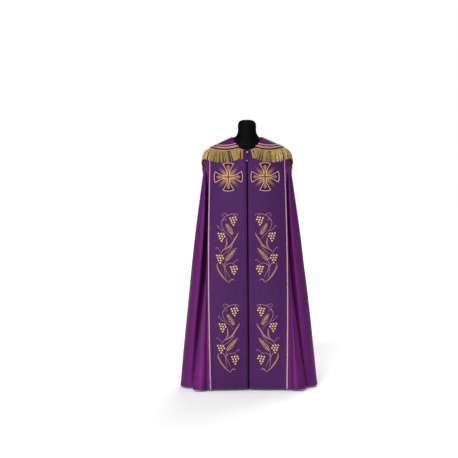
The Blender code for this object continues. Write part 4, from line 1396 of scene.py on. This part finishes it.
def make_tab():
    """The closing tab, bowed out a little, with a line of stitching round it."""
    heights = np.linspace(TAB_TOP, TAB_BOTTOM, TAB_ROWS)
    across = np.linspace(-TAB_HALF_WIDTH, TAB_HALF_WIDTH, TAB_COLUMNS)
    grid = np.array([[(x, front_depth(z), z) for x in across] for z in heights])
    side = 1 - (across / TAB_HALF_WIDTH) ** 4
    end = 1 - (2 * (heights - TAB_BOTTOM) / (TAB_TOP - TAB_BOTTOM) - 1) ** 4
    grid[..., 1] -= TAB_BOW * side[None, :] * end[:, None]
    # The tab's satin is painted darker: painted shade between the fringe's ends.
    tab = cloth_piece(
        "closing_tab", grid, grid_normals(grid), CLOTH, "tab_satin",
        ("morse_tab",), TAB_LIFT,
    )
    inside = slice(STITCH_INSET, -STITCH_INSET)
    loop = np.concatenate([
        grid[STITCH_INSET, inside], grid[inside, -STITCH_INSET - 1],
        grid[-STITCH_INSET - 1, inside][::-1], grid[inside, STITCH_INSET][::-1],
    ]) + np.array([0.0, -TAB_LIFT, 0.0])
    seam = strands("closing_tab_stitching", [loop], STITCH_RADIUS, "seam_thread")
    return tab, [seam]


def make_clasps():
    """Domed press fastenings with a rolled rim."""
    angle = np.linspace(0.0, 2 * math.pi, CLASP_SIDES, endpoint=False)
    made = []
    for name, radius, height in CLASPS:
        drop = front_depth(height - TAB_HALF_WIDTH) - front_depth(height + TAB_HALF_WIDTH)
        lean = math.atan2(drop, 2 * TAB_HALF_WIDTH)
        middle = np.array([0.0, float(front_depth(height)) - TAB_LIFT - TAB_BOW - 2 * SEAM, height])
        rings = []
        for share, rise in CLASP_PROFILE:
            aside, up = np.cos(angle) * share * radius, np.sin(angle) * share * radius
            tall = rise * CLASP_THICKNESS
            y = -tall * math.cos(lean) - up * math.sin(lean)
            z = -tall * math.sin(lean) + up * math.cos(lean)
            rings.append(middle + np.stack([aside, y, z], axis=-1))
        mesh = stack_mesh(f"{name}_dome", np.array(rings), "clasp_metal")
        made.append(keep(f"{name}_dome", mesh, (name,), smooth_under=35))
    return made


def make_form():
    """The dress form: its jersey, the beading on its neck, and enamel on the pole and base."""
    table = np.array(FORM_RINGS)
    knots = lengths_along(table[:, (0, 3)])
    places = np.concatenate([
        np.linspace(low, high, FORM_STEPS, endpoint=False) for low, high in zip(knots, knots[1:])
    ])
    rings = through(knots, table, np.append(places, knots[-1]))
    bearing = np.linspace(0.0, 2 * math.pi, FORM_SIDES, endpoint=False)
    points = ring_points(rings[:, None, :], bearing[None, :])
    mesh = stack_mesh("torso_jersey", points, "form_jersey")
    keep("torso_jersey", mesh, ("form_torso",), smooth_under=60)
    rim = np.array([
        [(NECK_RIM_RADIUS * math.sin(turn), -NECK_RIM_RADIUS * math.cos(turn), NECK_RIM_HEIGHT)
         for turn in np.linspace(0.0, 2 * math.pi, FORM_SIDES + 1)]
    ])
    rim[..., 1] *= NECK_RIM_DEPTH / NECK_RIM_RADIUS
    strands("neck_rim", rim, NECK_RIM_THICK, "neck_rim", 12)
    for name in ("form_pole", "form_base"):
        for place in bpy.data.objects[name].material_slots:
            place.material = LOOKS["form_stand"]


# ================ embroidery
MM = 1000                   # millimetres in a metre
# A sewn stroke: points as (across, up) in millimetres from its motif's middle, its full
# width, and the shape it is sewn in (a key of STROKE_SHAPES).
Stroke = namedtuple("Stroke", "points width shape")
# A shape's share of the full width at parts of its length, and its section: places across
# from -1 to 1 with their share of the full height.
Shape = namedtuple("Shape", "parts shares section height")
ROUND_SECTION = ((-1.0, 0.0), (-0.62, 0.78), (0.0, 1.0), (0.62, 0.78), (1.0, 0.0))
VEINED_SECTION = (
    (-1.0, 0.0), (-0.8, 0.7), (-0.42, 1.0), (-0.1, 0.75), (0.0, 0.3),
    (0.1, 0.75), (0.42, 1.0), (0.8, 0.7), (1.0, 0.0),
)
STROKE_SHAPES = {
    "cord": Shape((0.0, 0.03, 0.97, 1.0), (0.4, 1.0, 1.0, 0.4), ROUND_SECTION, 0.0014),
    "stem": Shape((0.0, 0.5, 1.0), (1.0, 0.85, 0.45), ROUND_SECTION, 0.0011),
    "tendril": Shape((0.0, 0.6, 0.94, 1.0), (1.0, 0.75, 0.6, 0.8), ROUND_SECTION, 0.0009),
    "leaf": Shape(
        (0.0, 0.12, 0.38, 0.62, 0.85, 1.0), (0.12, 0.62, 1.0, 0.92, 0.5, 0.06),
        VEINED_SECTION, 0.0017,
    ),
    "blade": Shape(
        (0.0, 0.2, 0.55, 0.85, 1.0), (0.35, 0.9, 1.0, 0.55, 0.08), VEINED_SECTION, 0.0016
    ),
    "ray": Shape((0.0, 0.25, 0.7, 1.0), (0.3, 1.0, 0.75, 0.08), ROUND_SECTION, 0.0012),
    "faint": Shape((0.0, 0.25, 0.7, 1.0), (0.3, 1.0, 0.85, 0.15), ROUND_SECTION, 0.0008),
    "beam": Shape((0.0, 0.3, 0.9, 1.0), (0.3, 0.6, 1.0, 0.45), ROUND_SECTION, 0.0011),
    "awn": Shape((0.0, 0.4, 1.0), (1.0, 0.7, 0.25), ROUND_SECTION, 0.0007),
    "laid": Shape((0.0, 1.0), (0.55, 1.0), ROUND_SECTION, 0.0006),
}
STROKE_STEP = 0.0035        # between the sections of a stroke
SINK = 0.0004               # how far its underside goes into the cloth


class Ground:
    """Cloth that is sewn on, found straight ahead from the front or the back."""

    def __init__(self, cloth, toward):
        points = [vertex.co.copy() for vertex in cloth.data.vertices]
        faces = [list(face.vertices) for face in cloth.data.polygons]
        self.tree = BVHTree.FromPolygons(points, faces)
        self.way = Vector((0.0, toward, 0.0))

    def at(self, x, z):
        """Points and outward normals at places (x, z), in metres."""
        x, z = np.broadcast_arrays(np.asarray(x, float), np.asarray(z, float))
        points, normals = [], []
        for across, up in zip(x.ravel(), z.ravel()):
            start = Vector((across, 0.0, up)) - self.way
            spot, normal, _, _ = self.tree.ray_cast(start, self.way)
            points.append(spot)
            normals.append(-normal if normal.dot(self.way) > 0 else normal)
        shape = x.shape + (3,)
        return np.array(points).reshape(shape), np.array(normals).reshape(shape)


def smooth_line(points, step):
    """A smooth flat curve through points, with places about a step apart."""
    points = np.asarray(points, float)
    knots = lengths_along(points)
    count = max(int(math.ceil(knots[-1] / step)), 3)
    if len(points) < 3:
        return np.stack([np.linspace(*ends, count + 1) for ends in points.T], axis=-1)
    return through(knots, points, np.linspace(0.0, knots[-1], count + 1))


def stroke_rings(stroke, middle, mirror, ground):
    """Sections of one stroke on its ground, with their places along and across."""
    shape = STROKE_SHAPES[stroke.shape]
    line = smooth_line(np.asarray(stroke.points) / MM, STROKE_STEP)
    line = line * np.array([mirror, middle.tall]) + np.array(middle[:2])
    way = unit(np.gradient(line, axis=0))
    side = np.stack([-way[:, 1], way[:, 0]], axis=-1)
    run = lengths_along(line)
    share = np.interp(run / run[-1], shape.parts, shape.shares)
    half = share * stroke.width / (2 * MM)
    across = np.array([place for place, _ in shape.section])
    rise = np.array([tall for _, tall in shape.section]) * shape.height
    flat = line[:, None, :] + side[:, None, :] * (half[:, None] * across)[..., None]
    points, normals = ground.at(flat[..., 0], flat[..., 1])
    points = points + normals * (rise * np.sqrt(share)[:, None])[..., None]
    under, out = ground.at(line[:, 0], line[:, 1])
    rings = np.concatenate([points, (under - out * SINK)[:, None]], axis=1)
    along = np.broadcast_to(run[:, None], rings.shape[:2])
    aside = np.concatenate([np.abs(half[:, None] * across), np.zeros((len(half), 1))], axis=1)
    return rings, along, aside


def sewn(name, strokes, middles, ground, look, mirror=1):
    """Strokes of one thread, sewn at each motif's middle, as one piece of closed meshes."""
    points, faces, alongs, asides = [], [], [], []
    total = 0
    for middle in middles:
        for stroke in strokes:
            rings, along, aside = stroke_rings(stroke, middle, mirror, ground)
            count, sides = rings.shape[:2]
            first = total + np.arange(count - 1)[:, None] * sides
            here = np.arange(sides)
            after = (here + 1) % sides
            quads = np.stack(
                [first + here, first + after, first + sides + after, first + sides + here], axis=-1
            )
            faces += quads.reshape(-1, 4).tolist()
            faces.append((total + here[::-1]).tolist())
            faces.append((total + (count - 1) * sides + here).tolist())
            points.append(rings.reshape(-1, 3))
            alongs.append(along.ravel())
            asides.append(aside.ravel())
            total += count * sides
    mesh = mesh_of(name, np.concatenate(points), faces, look=look)
    add_attribute(mesh, "along", np.concatenate(alongs))
    add_attribute(mesh, "across", np.concatenate(asides))
    face_outwards(mesh)
    return keep(name, mesh, smooth_under=75)


def face_outwards(mesh):
    work = bmesh.new()
    work.from_mesh(mesh)
    bmesh.ops.recalc_face_normals(work, faces=work.faces)
    work.to_mesh(mesh)
    work.free()


def sewn_dots(name, places, aheads, middles, ground, tree, look, mirror, **values):
    """Berries or grains at places (across, up) of every motif, in millimetres."""
    places = np.asarray(places, float) / MM
    flat = np.concatenate([
        places * np.array([mirror, middle.tall]) + np.array(middle[:2]) for middle in middles
    ])
    turns = np.tile(np.asarray(aheads, float) * np.array([mirror, 1.0]), (len(middles), 1))
    points, normals = ground.at(flat[:, 0], flat[:, 1])
    ahead = np.stack([turns[:, 0], np.zeros(len(turns)), turns[:, 1]], axis=-1)
    ahead = turned_flat(ahead, normals)
    return dotted(name, points, normals, ahead, 1.0, tree, look, "gold_braid", **values)


# ---------------- vine with grapes and wheat
# A cluster's middle, and how far its rows rise outwards from the opening, as a slope.
Cluster = namedtuple("Cluster", "across up slope")
CLUSTERS = (
    Cluster(32, 167, 0.16), Cluster(-40, 69, -0.10), Cluster(-50, -64, -0.05),
    Cluster(34, -132, 0.10),
)
CLUSTER_ROWS = ((3, -2.4), (3, 3.2), (2, -0.6), (1, 1.0))    # berries, and how far aside
BERRY_PITCH = 16.0
BERRY_ROW = 14.6
BERRY_SIZE = 8.4
# A wheat ear: its tip, its foot and its full width.
Ear = namedtuple("Ear", "tip foot width")
EARS = (Ear((-13, 156), (28, 86), 40), Ear((45, 0), (-15, -73), 38))
def drawn(*rows):
    """Strokes from rows that give their shape, their width and their points."""
    return [Stroke(points, width, shape) for shape, width, *points in rows]


VINE_STEMS = drawn(
    ("stem", 3.9, (44, 211), (24, 212), (0, 204), (-22, 191), (-36, 172), (-40, 152),
     (-32, 127), (-19, 106), (0, 88), (15, 73), (22, 58)),
    ("stem", 4.0, (26, 24), (18, 6), (4, -12), (-14, -25), (-30, -36)),
    ("stem", 4.0, (-19, -113), (-16, -102), (-8, -95), (8, -89), (24, -90), (36, -97)),
    ("stem", 4.0, (-37, -88), (-26, -108), (-14, -130), (-2, -152), (8, -174)),
    ("stem", 4.0, (-17, -76), (-21, -100), (-22, -126), (-19, -152), (-12, -178)),
    ("stem", 4.0, (-30, 98), (-37, 93), (-40, 86)),
    ("stem", 4.0, (38, 208), (38, 200), (34, 190)),
    ("stem", 4.0, (-42, -30), (-49, -36), (-51, -44)),
    ("stem", 4.0, (34, -96), (38, -102), (36, -110)),
)
VINE_TENDRILS = drawn(
    ("tendril", 3.2, (2, 205), (-12, 212), (-25, 217), (-35, 213), (-37, 204), (-30, 199),
     (-24, 204)),
    ("tendril", 3.0, (-34, 170), (-27, 176), (-20, 182), (-13, 180), (-13, 173), (-19, 171)),
    ("tendril", 3.2, (-22, 109), (-36, 112), (-48, 121), (-57, 134), (-62, 143), (-67, 138),
     (-62, 132)),
    ("tendril", 3.0, (-44, -18), (-54, -10), (-62, 2), (-70, 9), (-76, 4), (-71, -2)),
    ("tendril", 3.2, (28, -89), (38, -82), (48, -72), (56, -64), (62, -70), (56, -75)),
    ("tendril", 3.2, (36, 207), (50, 213), (59, 208), (56, 199)),
)
VINE_LEAVES = drawn(
    ("blade", 9.5, (61, 96), (52, 76), (40, 58), (27, 35), (12, 16), (-10, 2), (-31, -9),
     (-46, -30)),
    ("leaf", 8.0, (-9, 68), (-10, 50), (-8, 33), (-12, 18), (-24, -2)),
    ("blade", 9.0, (-66, -88), (-67, -108), (-58, -132), (-46, -152), (-30, -174), (-12, -192),
     (8, -211)),
    ("leaf", 6.5, (5, -206), (13, -192), (24, -186), (41, -194)),
)


def cluster_places():
    """Every berry of a motif: rows of three, three, two and one, point down."""
    tall = (len(CLUSTER_ROWS) - 1) * BERRY_ROW
    places = []
    for cluster in CLUSTERS:
        for row, (across, shift) in enumerate(CLUSTER_ROWS):
            for place in range(across):
                aside = (place - (across - 1) / 2) * BERRY_PITCH + shift
                up = tall / 2 - row * BERRY_ROW + aside * cluster.slope
                places.append((cluster.across + aside, cluster.up + up))
    return places


GRAIN_PITCH = 11.0          # between the pairs of an ear
GRAIN_LEAN = 0.62           # how far the paired grains turn out from the ear's line
GRAIN_REACH = 0.44          # of the ear's half width, from its line to a grain's middle
EAR_FULLEST = 0.35          # part of the ear, from its foot, at which it is widest
EAR_SWELL, EAR_LOSS = 1.15, 0.55    # its width there, and what it loses towards its ends
KERNEL_PITCH = 11.0         # between the plump grains along its middle
FIRST_PAIR, FIRST_KERNEL = 0.7, 0.55        # pitches from the ear's foot
# A bristle's points, from its grain's middle: along the grain's way, and along the ear.
AWN = ((3.0, 0.0), (8.0, 3.0), (11.0, 9.0))
AWN_WIDTH = 1.6


def ear_line(ear):
    """An ear's foot, its way, the way aside and its length."""
    tip, foot = np.array(ear.tip, float), np.array(ear.foot, float)
    length = np.linalg.norm(tip - foot)
    way = (tip - foot) / length
    return foot, way, np.array([-way[1], way[0]]), length


def ear_pairs(ear):
    """Places and ways of an ear's paired grains, from foot to tip."""
    foot, way, side, length = ear_line(ear)
    places, ways = [], []
    pairs = int(length // GRAIN_PITCH) - 1
    for pair in range(pairs):
        off = abs(2 * pair / (pairs - 1) - 2 * EAR_FULLEST)
        reach = ear.width / 2 * GRAIN_REACH * (EAR_SWELL - EAR_LOSS * off)
        for hand in (-1, 1):
            places.append(foot + way * (pair + FIRST_PAIR) * GRAIN_PITCH + side * hand * reach)
            ways.append(way + side * hand * GRAIN_LEAN)
    return places, ways


def ear_kernels(ear):
    """Places and ways of the plump grains along an ear's middle, up to its tip."""
    foot, way, _, length = ear_line(ear)
    steps = np.arange(FIRST_KERNEL * KERNEL_PITCH, length, KERNEL_PITCH)
    return [foot + way * step for step in steps], [way] * len(steps)


def ear_awns(ear):
    """Fine bristles that run out from between the grains."""
    _, line, _, _ = ear_line(ear)
    return [
        Stroke([place + way * out + line * ahead for out, ahead in AWN], AWN_WIDTH, "awn")
        for place, way in zip(*ear_pairs(ear))
    ]


# ---------------- the rayed cross
ARM_LENGTH = 86.0
ARM_NECK, ARM_END = 7.0, 34.0       # half widths of an arm, by the middle and at its end
NECK_END = 30.0                     # from the middle, where an arm starts to flare
ARM_FLARE = (0.82, 0.18)            # how much of its flare is even, and how much at its end
ARM_FROM = 12.0                     # where its filling starts
ARM_BULGE = 6.0                     # how far an arm's end rounds out
BETWEEN_ARMS = 45                   # degrees
GOLD_FROM, GOLD_END = 6.0, 41.0     # the outline's gold stretch, before it turns to pink
OUTLINE_LAP = 3.0                   # the two colours lie over each other there
OUTLINE_CORD, GOLD_CORD, LAID_CORD = 3.3, 4.9, 6.4      # widths of its threads
LAID_SHORT = 2.0                    # the filling stays this far inside an arm's end
LAID_ROWS = np.linspace(-0.86, 0.86, 11)    # of the filling, in half widths of the arm
# A ray: its lean from its bundle's middle in degrees, its end and its width.
Ray = namedtuple("Ray", "lean end width")
BUNDLE = (
    Ray(-20.0, 35.0, 4.0), Ray(-13.0, 50.0, 4.8), Ray(-6.2, 67.0, 5.6), Ray(0.0, 75.0, 6.4),
    Ray(6.2, 67.0, 5.6), Ray(13.0, 50.0, 4.8), Ray(20.0, 35.0, 4.0),
)
RAY_FROM, RAY_MIDDLE = 9.0, 36.0
FAINT_LONGER, FAINT_WIDER = 1.18, 1.15      # the faint rays below, against those above
# A thread along the middle of an arm: how far aside it ends, its end and its width.
BEAM = ((-8.4, 66.0, 5.0), (-4.2, 72.0, 5.4), (0.0, 74.0, 5.4), (4.2, 72.0, 5.4), (8.4, 66.0, 5.0))
BEAM_FROM, BEAM_MIDDLE = 26.0, 40.0
BEAM_PARTS = (0.4, 0.6)             # how far aside it is there, against its end
# The dark threads at the cross's middle: how far aside, their two ends and their width.
NECK_ASIDE, NECK_FROM, NECK_TO, NECK_CORD = 2.2, -3.0, BEAM_FROM + 12.0, 5.0


def arm_turns():
    for quarter in range(4):
        angle = quarter * math.pi / 2
        yield np.array([(math.cos(angle), -math.sin(angle)), (math.sin(angle), math.cos(angle))])


def on_arms(strokes):
    """Strokes of the arm that points up, on all four arms."""
    return [
        Stroke(np.asarray(stroke.points) @ turn.T, stroke.width, stroke.shape)
        for turn in arm_turns() for stroke in strokes
    ]


def arm_side(out):
    """Half width of a cross's arm at a way out from its middle: a neck, then flaring."""
    part = np.maximum(out - NECK_END, 0.0) / (ARM_LENGTH - ARM_BULGE - NECK_END)
    return ARM_NECK + (ARM_END - ARM_NECK) * (ARM_FLARE[0] * part + ARM_FLARE[1] * part**4)


def cross_outline():
    """One line round each flaring arm, open towards the middle."""
    out = np.linspace(GOLD_END - OUTLINE_LAP, ARM_LENGTH - ARM_BULGE, 7)
    rise = np.stack([-arm_side(out), out], axis=-1)
    across = np.linspace(-ARM_END, ARM_END, 9)[1:-1]
    top = np.stack([across, ARM_LENGTH - ARM_BULGE * (across / ARM_END) ** 2], axis=-1)
    fall = rise[::-1] * np.array([-1.0, 1.0])
    lines = (rise, np.concatenate([rise[-1:], top, fall[:1]]), fall)
    return on_arms([Stroke(line, OUTLINE_CORD, "cord") for line in lines])


def cross_rays(longer, wider, shape):
    """A bundle of rays between the arms."""
    strokes = []
    for ray in BUNDLE:
        angle = math.radians(BETWEEN_ARMS + ray.lean)
        way = np.array([math.sin(angle), math.cos(angle)])
        line = np.array([way * RAY_FROM, way * RAY_MIDDLE, way * ray.end * longer])
        strokes.append(Stroke(line, ray.width * wider, shape))
    return on_arms(strokes)


def cross_beams():
    """Threads that run out along the middle of each arm and spread a little."""
    near, further = BEAM_PARTS
    strokes = []
    for aside, far, width in BEAM:
        line = ((aside * near, BEAM_FROM), (aside * further, BEAM_MIDDLE), (aside, far))
        strokes.append(Stroke(line, width, "beam"))
    return on_arms(strokes)


def cross_necks():
    """Dark threads between the gold lines, through the middle and out to the beams."""
    return on_arms([
        Stroke(((aside, NECK_FROM), (aside, NECK_TO)), NECK_CORD, "faint")
        for aside in (-NECK_ASIDE, NECK_ASIDE)
    ])


def cross_heart():
    """The outline's gold stretch: two lines along each arm, from the middle's corners out."""
    out = np.linspace(GOLD_FROM, GOLD_END, 8)
    return on_arms([
        Stroke(np.stack([hand * arm_side(out), out], axis=-1), GOLD_CORD, "cord")
        for hand in (-1, 1)
    ])


def arm_fills():
    """Laid threads that fill each arm, side by side."""
    strokes = []
    for row in LAID_ROWS:
        out = np.linspace(ARM_FROM, ARM_LENGTH - LAID_SHORT - ARM_BULGE * row**2, 7)
        held = np.minimum(out, ARM_LENGTH - ARM_BULGE)
        strokes.append(Stroke(np.stack([arm_side(held) * row, out], axis=-1), LAID_CORD, "laid"))
    return on_arms(strokes)


# ---------------- the hood's emblem
EMBLEM_HEIGHT = 1.312
EMBLEM_ARM, EMBLEM_FOOT = 54.0, 66.0        # from the middle to the ends of its arms
EMBLEM_NECK, EMBLEM_END = 7.0, 19.0         # half widths of its arms
EMBLEM_FLARE = 1.8          # above 1, they widen most towards their ends
EMBLEM_BULGE = 4.0          # how far an arm's end rounds out
EMBLEM_CORD, EMBLEM_LAID = 4.6, 4.2
EMBLEM_ROWS = np.linspace(-0.6, 0.6, 5)     # of its filling, in half widths
EMBLEM_FILLED = 0.97        # of an arm's length
WREATH_RADIUS = 78.0
WREATH_OPEN = (178, 38)     # degrees from the top at which each side starts and ends
WREATH_PAIRS = 7
WREATH_STEM, WREATH_LEAF = 4.5, 9.5         # widths
# A leaf outside the ring and one inside: the way that it turns, and its length.
LEAF_PAIR = ((1, 25.0), (-1, 20.0))
LEAF_AHEAD, LEAF_ASIDE = 0.9, 0.75
LEAF_CURL = (2.0, 5.0)      # how far its middle and its tip bend on along the ring


def leaf_wreath():
    """Leaves in pairs up both sides of a ring that is open at the top."""
    stems, leaves = [], []
    for hand in (-1, 1):
        angles = np.radians(90 + hand * np.linspace(*WREATH_OPEN, WREATH_PAIRS + 2))
        ring = np.stack([np.cos(angles), np.sin(angles)], axis=-1) * WREATH_RADIUS
        stems.append(Stroke(ring, WREATH_STEM, "stem"))
        for before, spot, after in zip(ring, ring[1:], ring[2:]):
            way = unit(after - before)
            for turn, length in LEAF_PAIR:
                lean = unit(way * LEAF_AHEAD + unit(spot) * turn * LEAF_ASIDE)
                middle = spot + lean * length * 0.5 + way * LEAF_CURL[0]
                tip = spot + lean * length + way * LEAF_CURL[1]
                leaves.append(Stroke((spot, middle, tip), WREATH_LEAF, "leaf"))
    return stems, leaves


def emblem_cross():
    """A plain cross with arms that widen a little, drawn in outline, and its filling."""
    outline, filling = [], []
    for quarter, turn in enumerate(arm_turns()):
        long = EMBLEM_FOOT if quarter == 2 else EMBLEM_ARM
        parts = np.linspace(0.0, 1.0, 5)
        side = EMBLEM_NECK + (EMBLEM_END - EMBLEM_NECK) * parts**EMBLEM_FLARE
        out = EMBLEM_NECK + (long - EMBLEM_NECK) * parts
        end = np.array([(-EMBLEM_END, long), (0.0, long + EMBLEM_BULGE), (EMBLEM_END, long)])
        lines = [np.stack([hand * side, out], axis=-1) for hand in (-1, 1)] + [end]
        outline += [Stroke(line @ turn.T, EMBLEM_CORD, "cord") for line in lines]
        for row in EMBLEM_ROWS:
            line = np.stack([side * row, out * EMBLEM_FILLED], axis=-1)
            filling.append(Stroke(line @ turn.T, EMBLEM_LAID, "cord"))
    return outline, filling


# Where the motifs are sewn on each orphrey: out from the opening, height, and how tall.
Sewing = namedtuple("Sewing", "out height tall")
CROSS_AT = {1: Sewing(0.1085, 1.282, 1.0), -1: Sewing(0.1155, 1.282, 1.0)}
VINES_AT = {
    1: (Sewing(0.1070, 0.847, 0.99), Sewing(0.1100, 0.308, 0.955)),
    -1: (Sewing(0.1190, 0.847, 0.99), Sewing(0.1145, 0.308, 0.955)),
}


def of_ears(part):
    """Places and ways of one sort of grain, on all the ears."""
    places, ways = zip(*(part(ear) for ear in EARS))
    return sum(places, []), sum(ways, [])


def make_embroidery(cloths, hood_cloth):
    """Everything sewn on the two orphreys and the hood: the pieces on each of them."""
    berries = cluster_places()
    level = [(1.0, 0.0)] * len(berries)
    on_cross = (
        ("cross_filling", arm_fills(), "maroon_filling", "mantle_satin"),
        ("cross_faint_rays", cross_rays(FAINT_LONGER, FAINT_WIDER, "faint"), "faint_ray_thread",
         "gold_braid"),
        ("cross_rays", cross_rays(1.0, 1.0, "ray"), "ray_thread", "gold_braid"),
        ("cross_outline", cross_outline(), "pale_gold_thread", "gold_braid"),
        ("cross_necks", cross_necks(), "neck_thread", "gold_braid"),
        ("cross_beams", cross_beams(), "beam_thread", "gold_braid"),
        ("cross_heart", cross_heart(), "bright_gold_thread", "gold_braid"),
    )
    on_vines = (
        ("vine_stems", VINE_STEMS + VINE_TENDRILS, "stem_thread"),
        ("vine_leaves", VINE_LEAVES, "leaf_thread"),
        ("wheat_awns", sum((ear_awns(ear) for ear in EARS), []), "bronze_thread"),
    )
    # Title, places and ways, then length, width, height, sides, rings and thread.
    grains = (
        ("wheat_grains", *of_ears(ear_pairs), 0.0132, 0.0062, 0.0023, 8, 6, "bronze_thread"),
        ("wheat_kernels", *of_ears(ear_kernels), 0.0088, 0.0060, 0.0028, 8, 6, "wheat_thread"),
        # Under each berry, a dark disc that shows in the gaps: painted shade between the berries.
        ("berry_ground", berries, level, 0.0196, 0.0196, 0.0008, 10, 4, "berry_ground"),
    )
    made = {}
    for side, word in SIDES:
        ground = Ground(cloths[f"orphrey_{word}"], 1.0)
        cross = [CROSS_AT[side]._replace(out=CROSS_AT[side].out * side)]
        vines = [place._replace(out=place.out * side) for place in VINES_AT[side]]
        flip = -side        # the vine is drawn for the wearer's right
        pieces = [
            sewn(f"{title}_{word}", strokes, cross, ground, look)
            for title, strokes, look, slot in on_cross
        ]
        pieces += [
            sewn(f"{title}_{word}", strokes, vines, ground, look, flip)
            for title, strokes, look in on_vines
        ]
        pieces += [
            sewn_dots(f"{title}_{word}", places, ways, vines, ground, GRAINS, look, flip,
                      Length=length, Width=width, Height=height, Sides=sides, Rings=rings)
            for title, places, ways, length, width, height, sides, rings, look in grains
        ]
        pieces.append(sewn_dots(
            f"berries_{word}", berries, level, vines, ground, BERRIES, "berry_thread", flip,
            Across=BERRY_SIZE / MM, Cord=0.0009, Height=0.0022,
        ))
        made[f"orphrey_{word}"] = pieces
    back = Ground(hood_cloth, -1.0)
    emblem = [Sewing(0.0, EMBLEM_HEIGHT, 1.0)]
    stems, leaves = leaf_wreath()
    outline, filling = emblem_cross()
    made["hood"] = [
        sewn(name, strokes, emblem, back, look)
        for name, strokes, look in (
            ("hood_cross_filling", filling, "bronze_thread"),
            ("hood_cross_outline", outline, "pale_gold_thread"),
            ("hood_wreath_stems", stems, "pale_gold_thread"),
            ("hood_wreath_leaves", leaves, "bronze_thread"),
        )
    ]
    return made


# ================ floor, light and camera
WHITE = (1.0, 1.0, 1.0, 1.0)
FLOOR_REACH = 30.0
ROOM_LIGHT = 0.08
FLOOR_GLOW = 0.08           # keeps the pale floor as white as the wall behind
# A broad soft lamp: the way it stands from the cope, degrees across, and its strength.
Lamp = namedtuple("Lamp", "name toward softness strength")
LAMPS = (
    Lamp("key_lamp", (-0.8, -2.9, 1.5), 20.0, 2.35),
    Lamp("fill_lamp", (-2.4, -1.2, 1.0), 36.0, 0.45),
    Lamp("top_lamp", (0.0, 0.3, 3.0), 60.0, 1.2),
    Lamp("back_lamp", (0.8, 2.8, 1.8), 36.0, 1.6),
)
CAMERA_PLACE = (0.0, -6.5, 1.05)
CAMERA_ROLL = 0.40          # degrees
CAMERA_SENSOR = 36.0
CAMERA_FOCUS = 1048 / 458   # the focal length, in widths of the view
CAMERA_SHIFT = (-0.0406, -0.0306)


def make_surroundings():
    """A pale floor that runs far out, soft lamps and a white room."""
    corners = ((-1, -1), (1, -1), (1, 1), (-1, 1))
    mesh = mesh_of(
        "studio_floor", [(x * FLOOR_REACH, y * FLOOR_REACH, 0) for x, y in corners],
        [(0, 1, 2, 3)],
    )
    material, tree, shader = new_material("studio_floor")
    feed(tree, shader, {
        "Base Color": WHITE, "Roughness": 0.9, "Emission Color": WHITE,
        "Emission Strength": FLOOR_GLOW,
    })
    mesh.materials.append(material)
    placed("studio_floor", mesh)

    world = bpy.data.worlds.new("white_room")
    world.use_nodes = True
    tree = world.node_tree
    seen = add_node(tree, "ShaderNodeLightPath").outputs["Is Camera Ray"]
    strength = output_of(
        tree, "ShaderNodeMapRange", {"Value": seen, "To Min": ROOM_LIGHT, "To Max": 1.0}
    )
    feed(tree, tree.nodes["Background"], {"Color": WHITE, "Strength": strength})
    bpy.context.scene.world = world

    for lamp in LAMPS:
        light = bpy.data.lights.new(lamp.name, "SUN")
        light.angle = math.radians(lamp.softness)
        light.energy = lamp.strength
        away = -Vector(lamp.toward)
        placed(lamp.name, light).rotation_euler = away.to_track_quat("-Z", "Y").to_euler()


def make_camera():
    """Level, in front, from far off; the view is square."""
    data = bpy.data.cameras.new("camera")
    data.sensor_width = CAMERA_SENSOR
    data.lens = CAMERA_FOCUS * CAMERA_SENSOR
    data.shift_x, data.shift_y = CAMERA_SHIFT
    camera = placed("camera", data)
    camera.location = CAMERA_PLACE
    camera.rotation_euler = (math.pi / 2, math.radians(CAMERA_ROLL), 0.0)
    bpy.context.scene.camera = camera
    bpy.context.scene.view_settings.view_transform = "Standard"


# ================ the whole cope
mantle = Mantle()
cloths, cuts = make_mantle(mantle)
hood, *bands = make_hood()
tab, stitching = make_tab()
on_them = make_embroidery(cloths, hood)
on_them["tab"] = stitching + make_clasps()
on_them["hood"] += bands + make_fringe()
for word, braids in make_orphrey_braids(mantle).items():
    on_them[f"orphrey_{word}"] += braids
make_form()
make_surroundings()
make_camera()
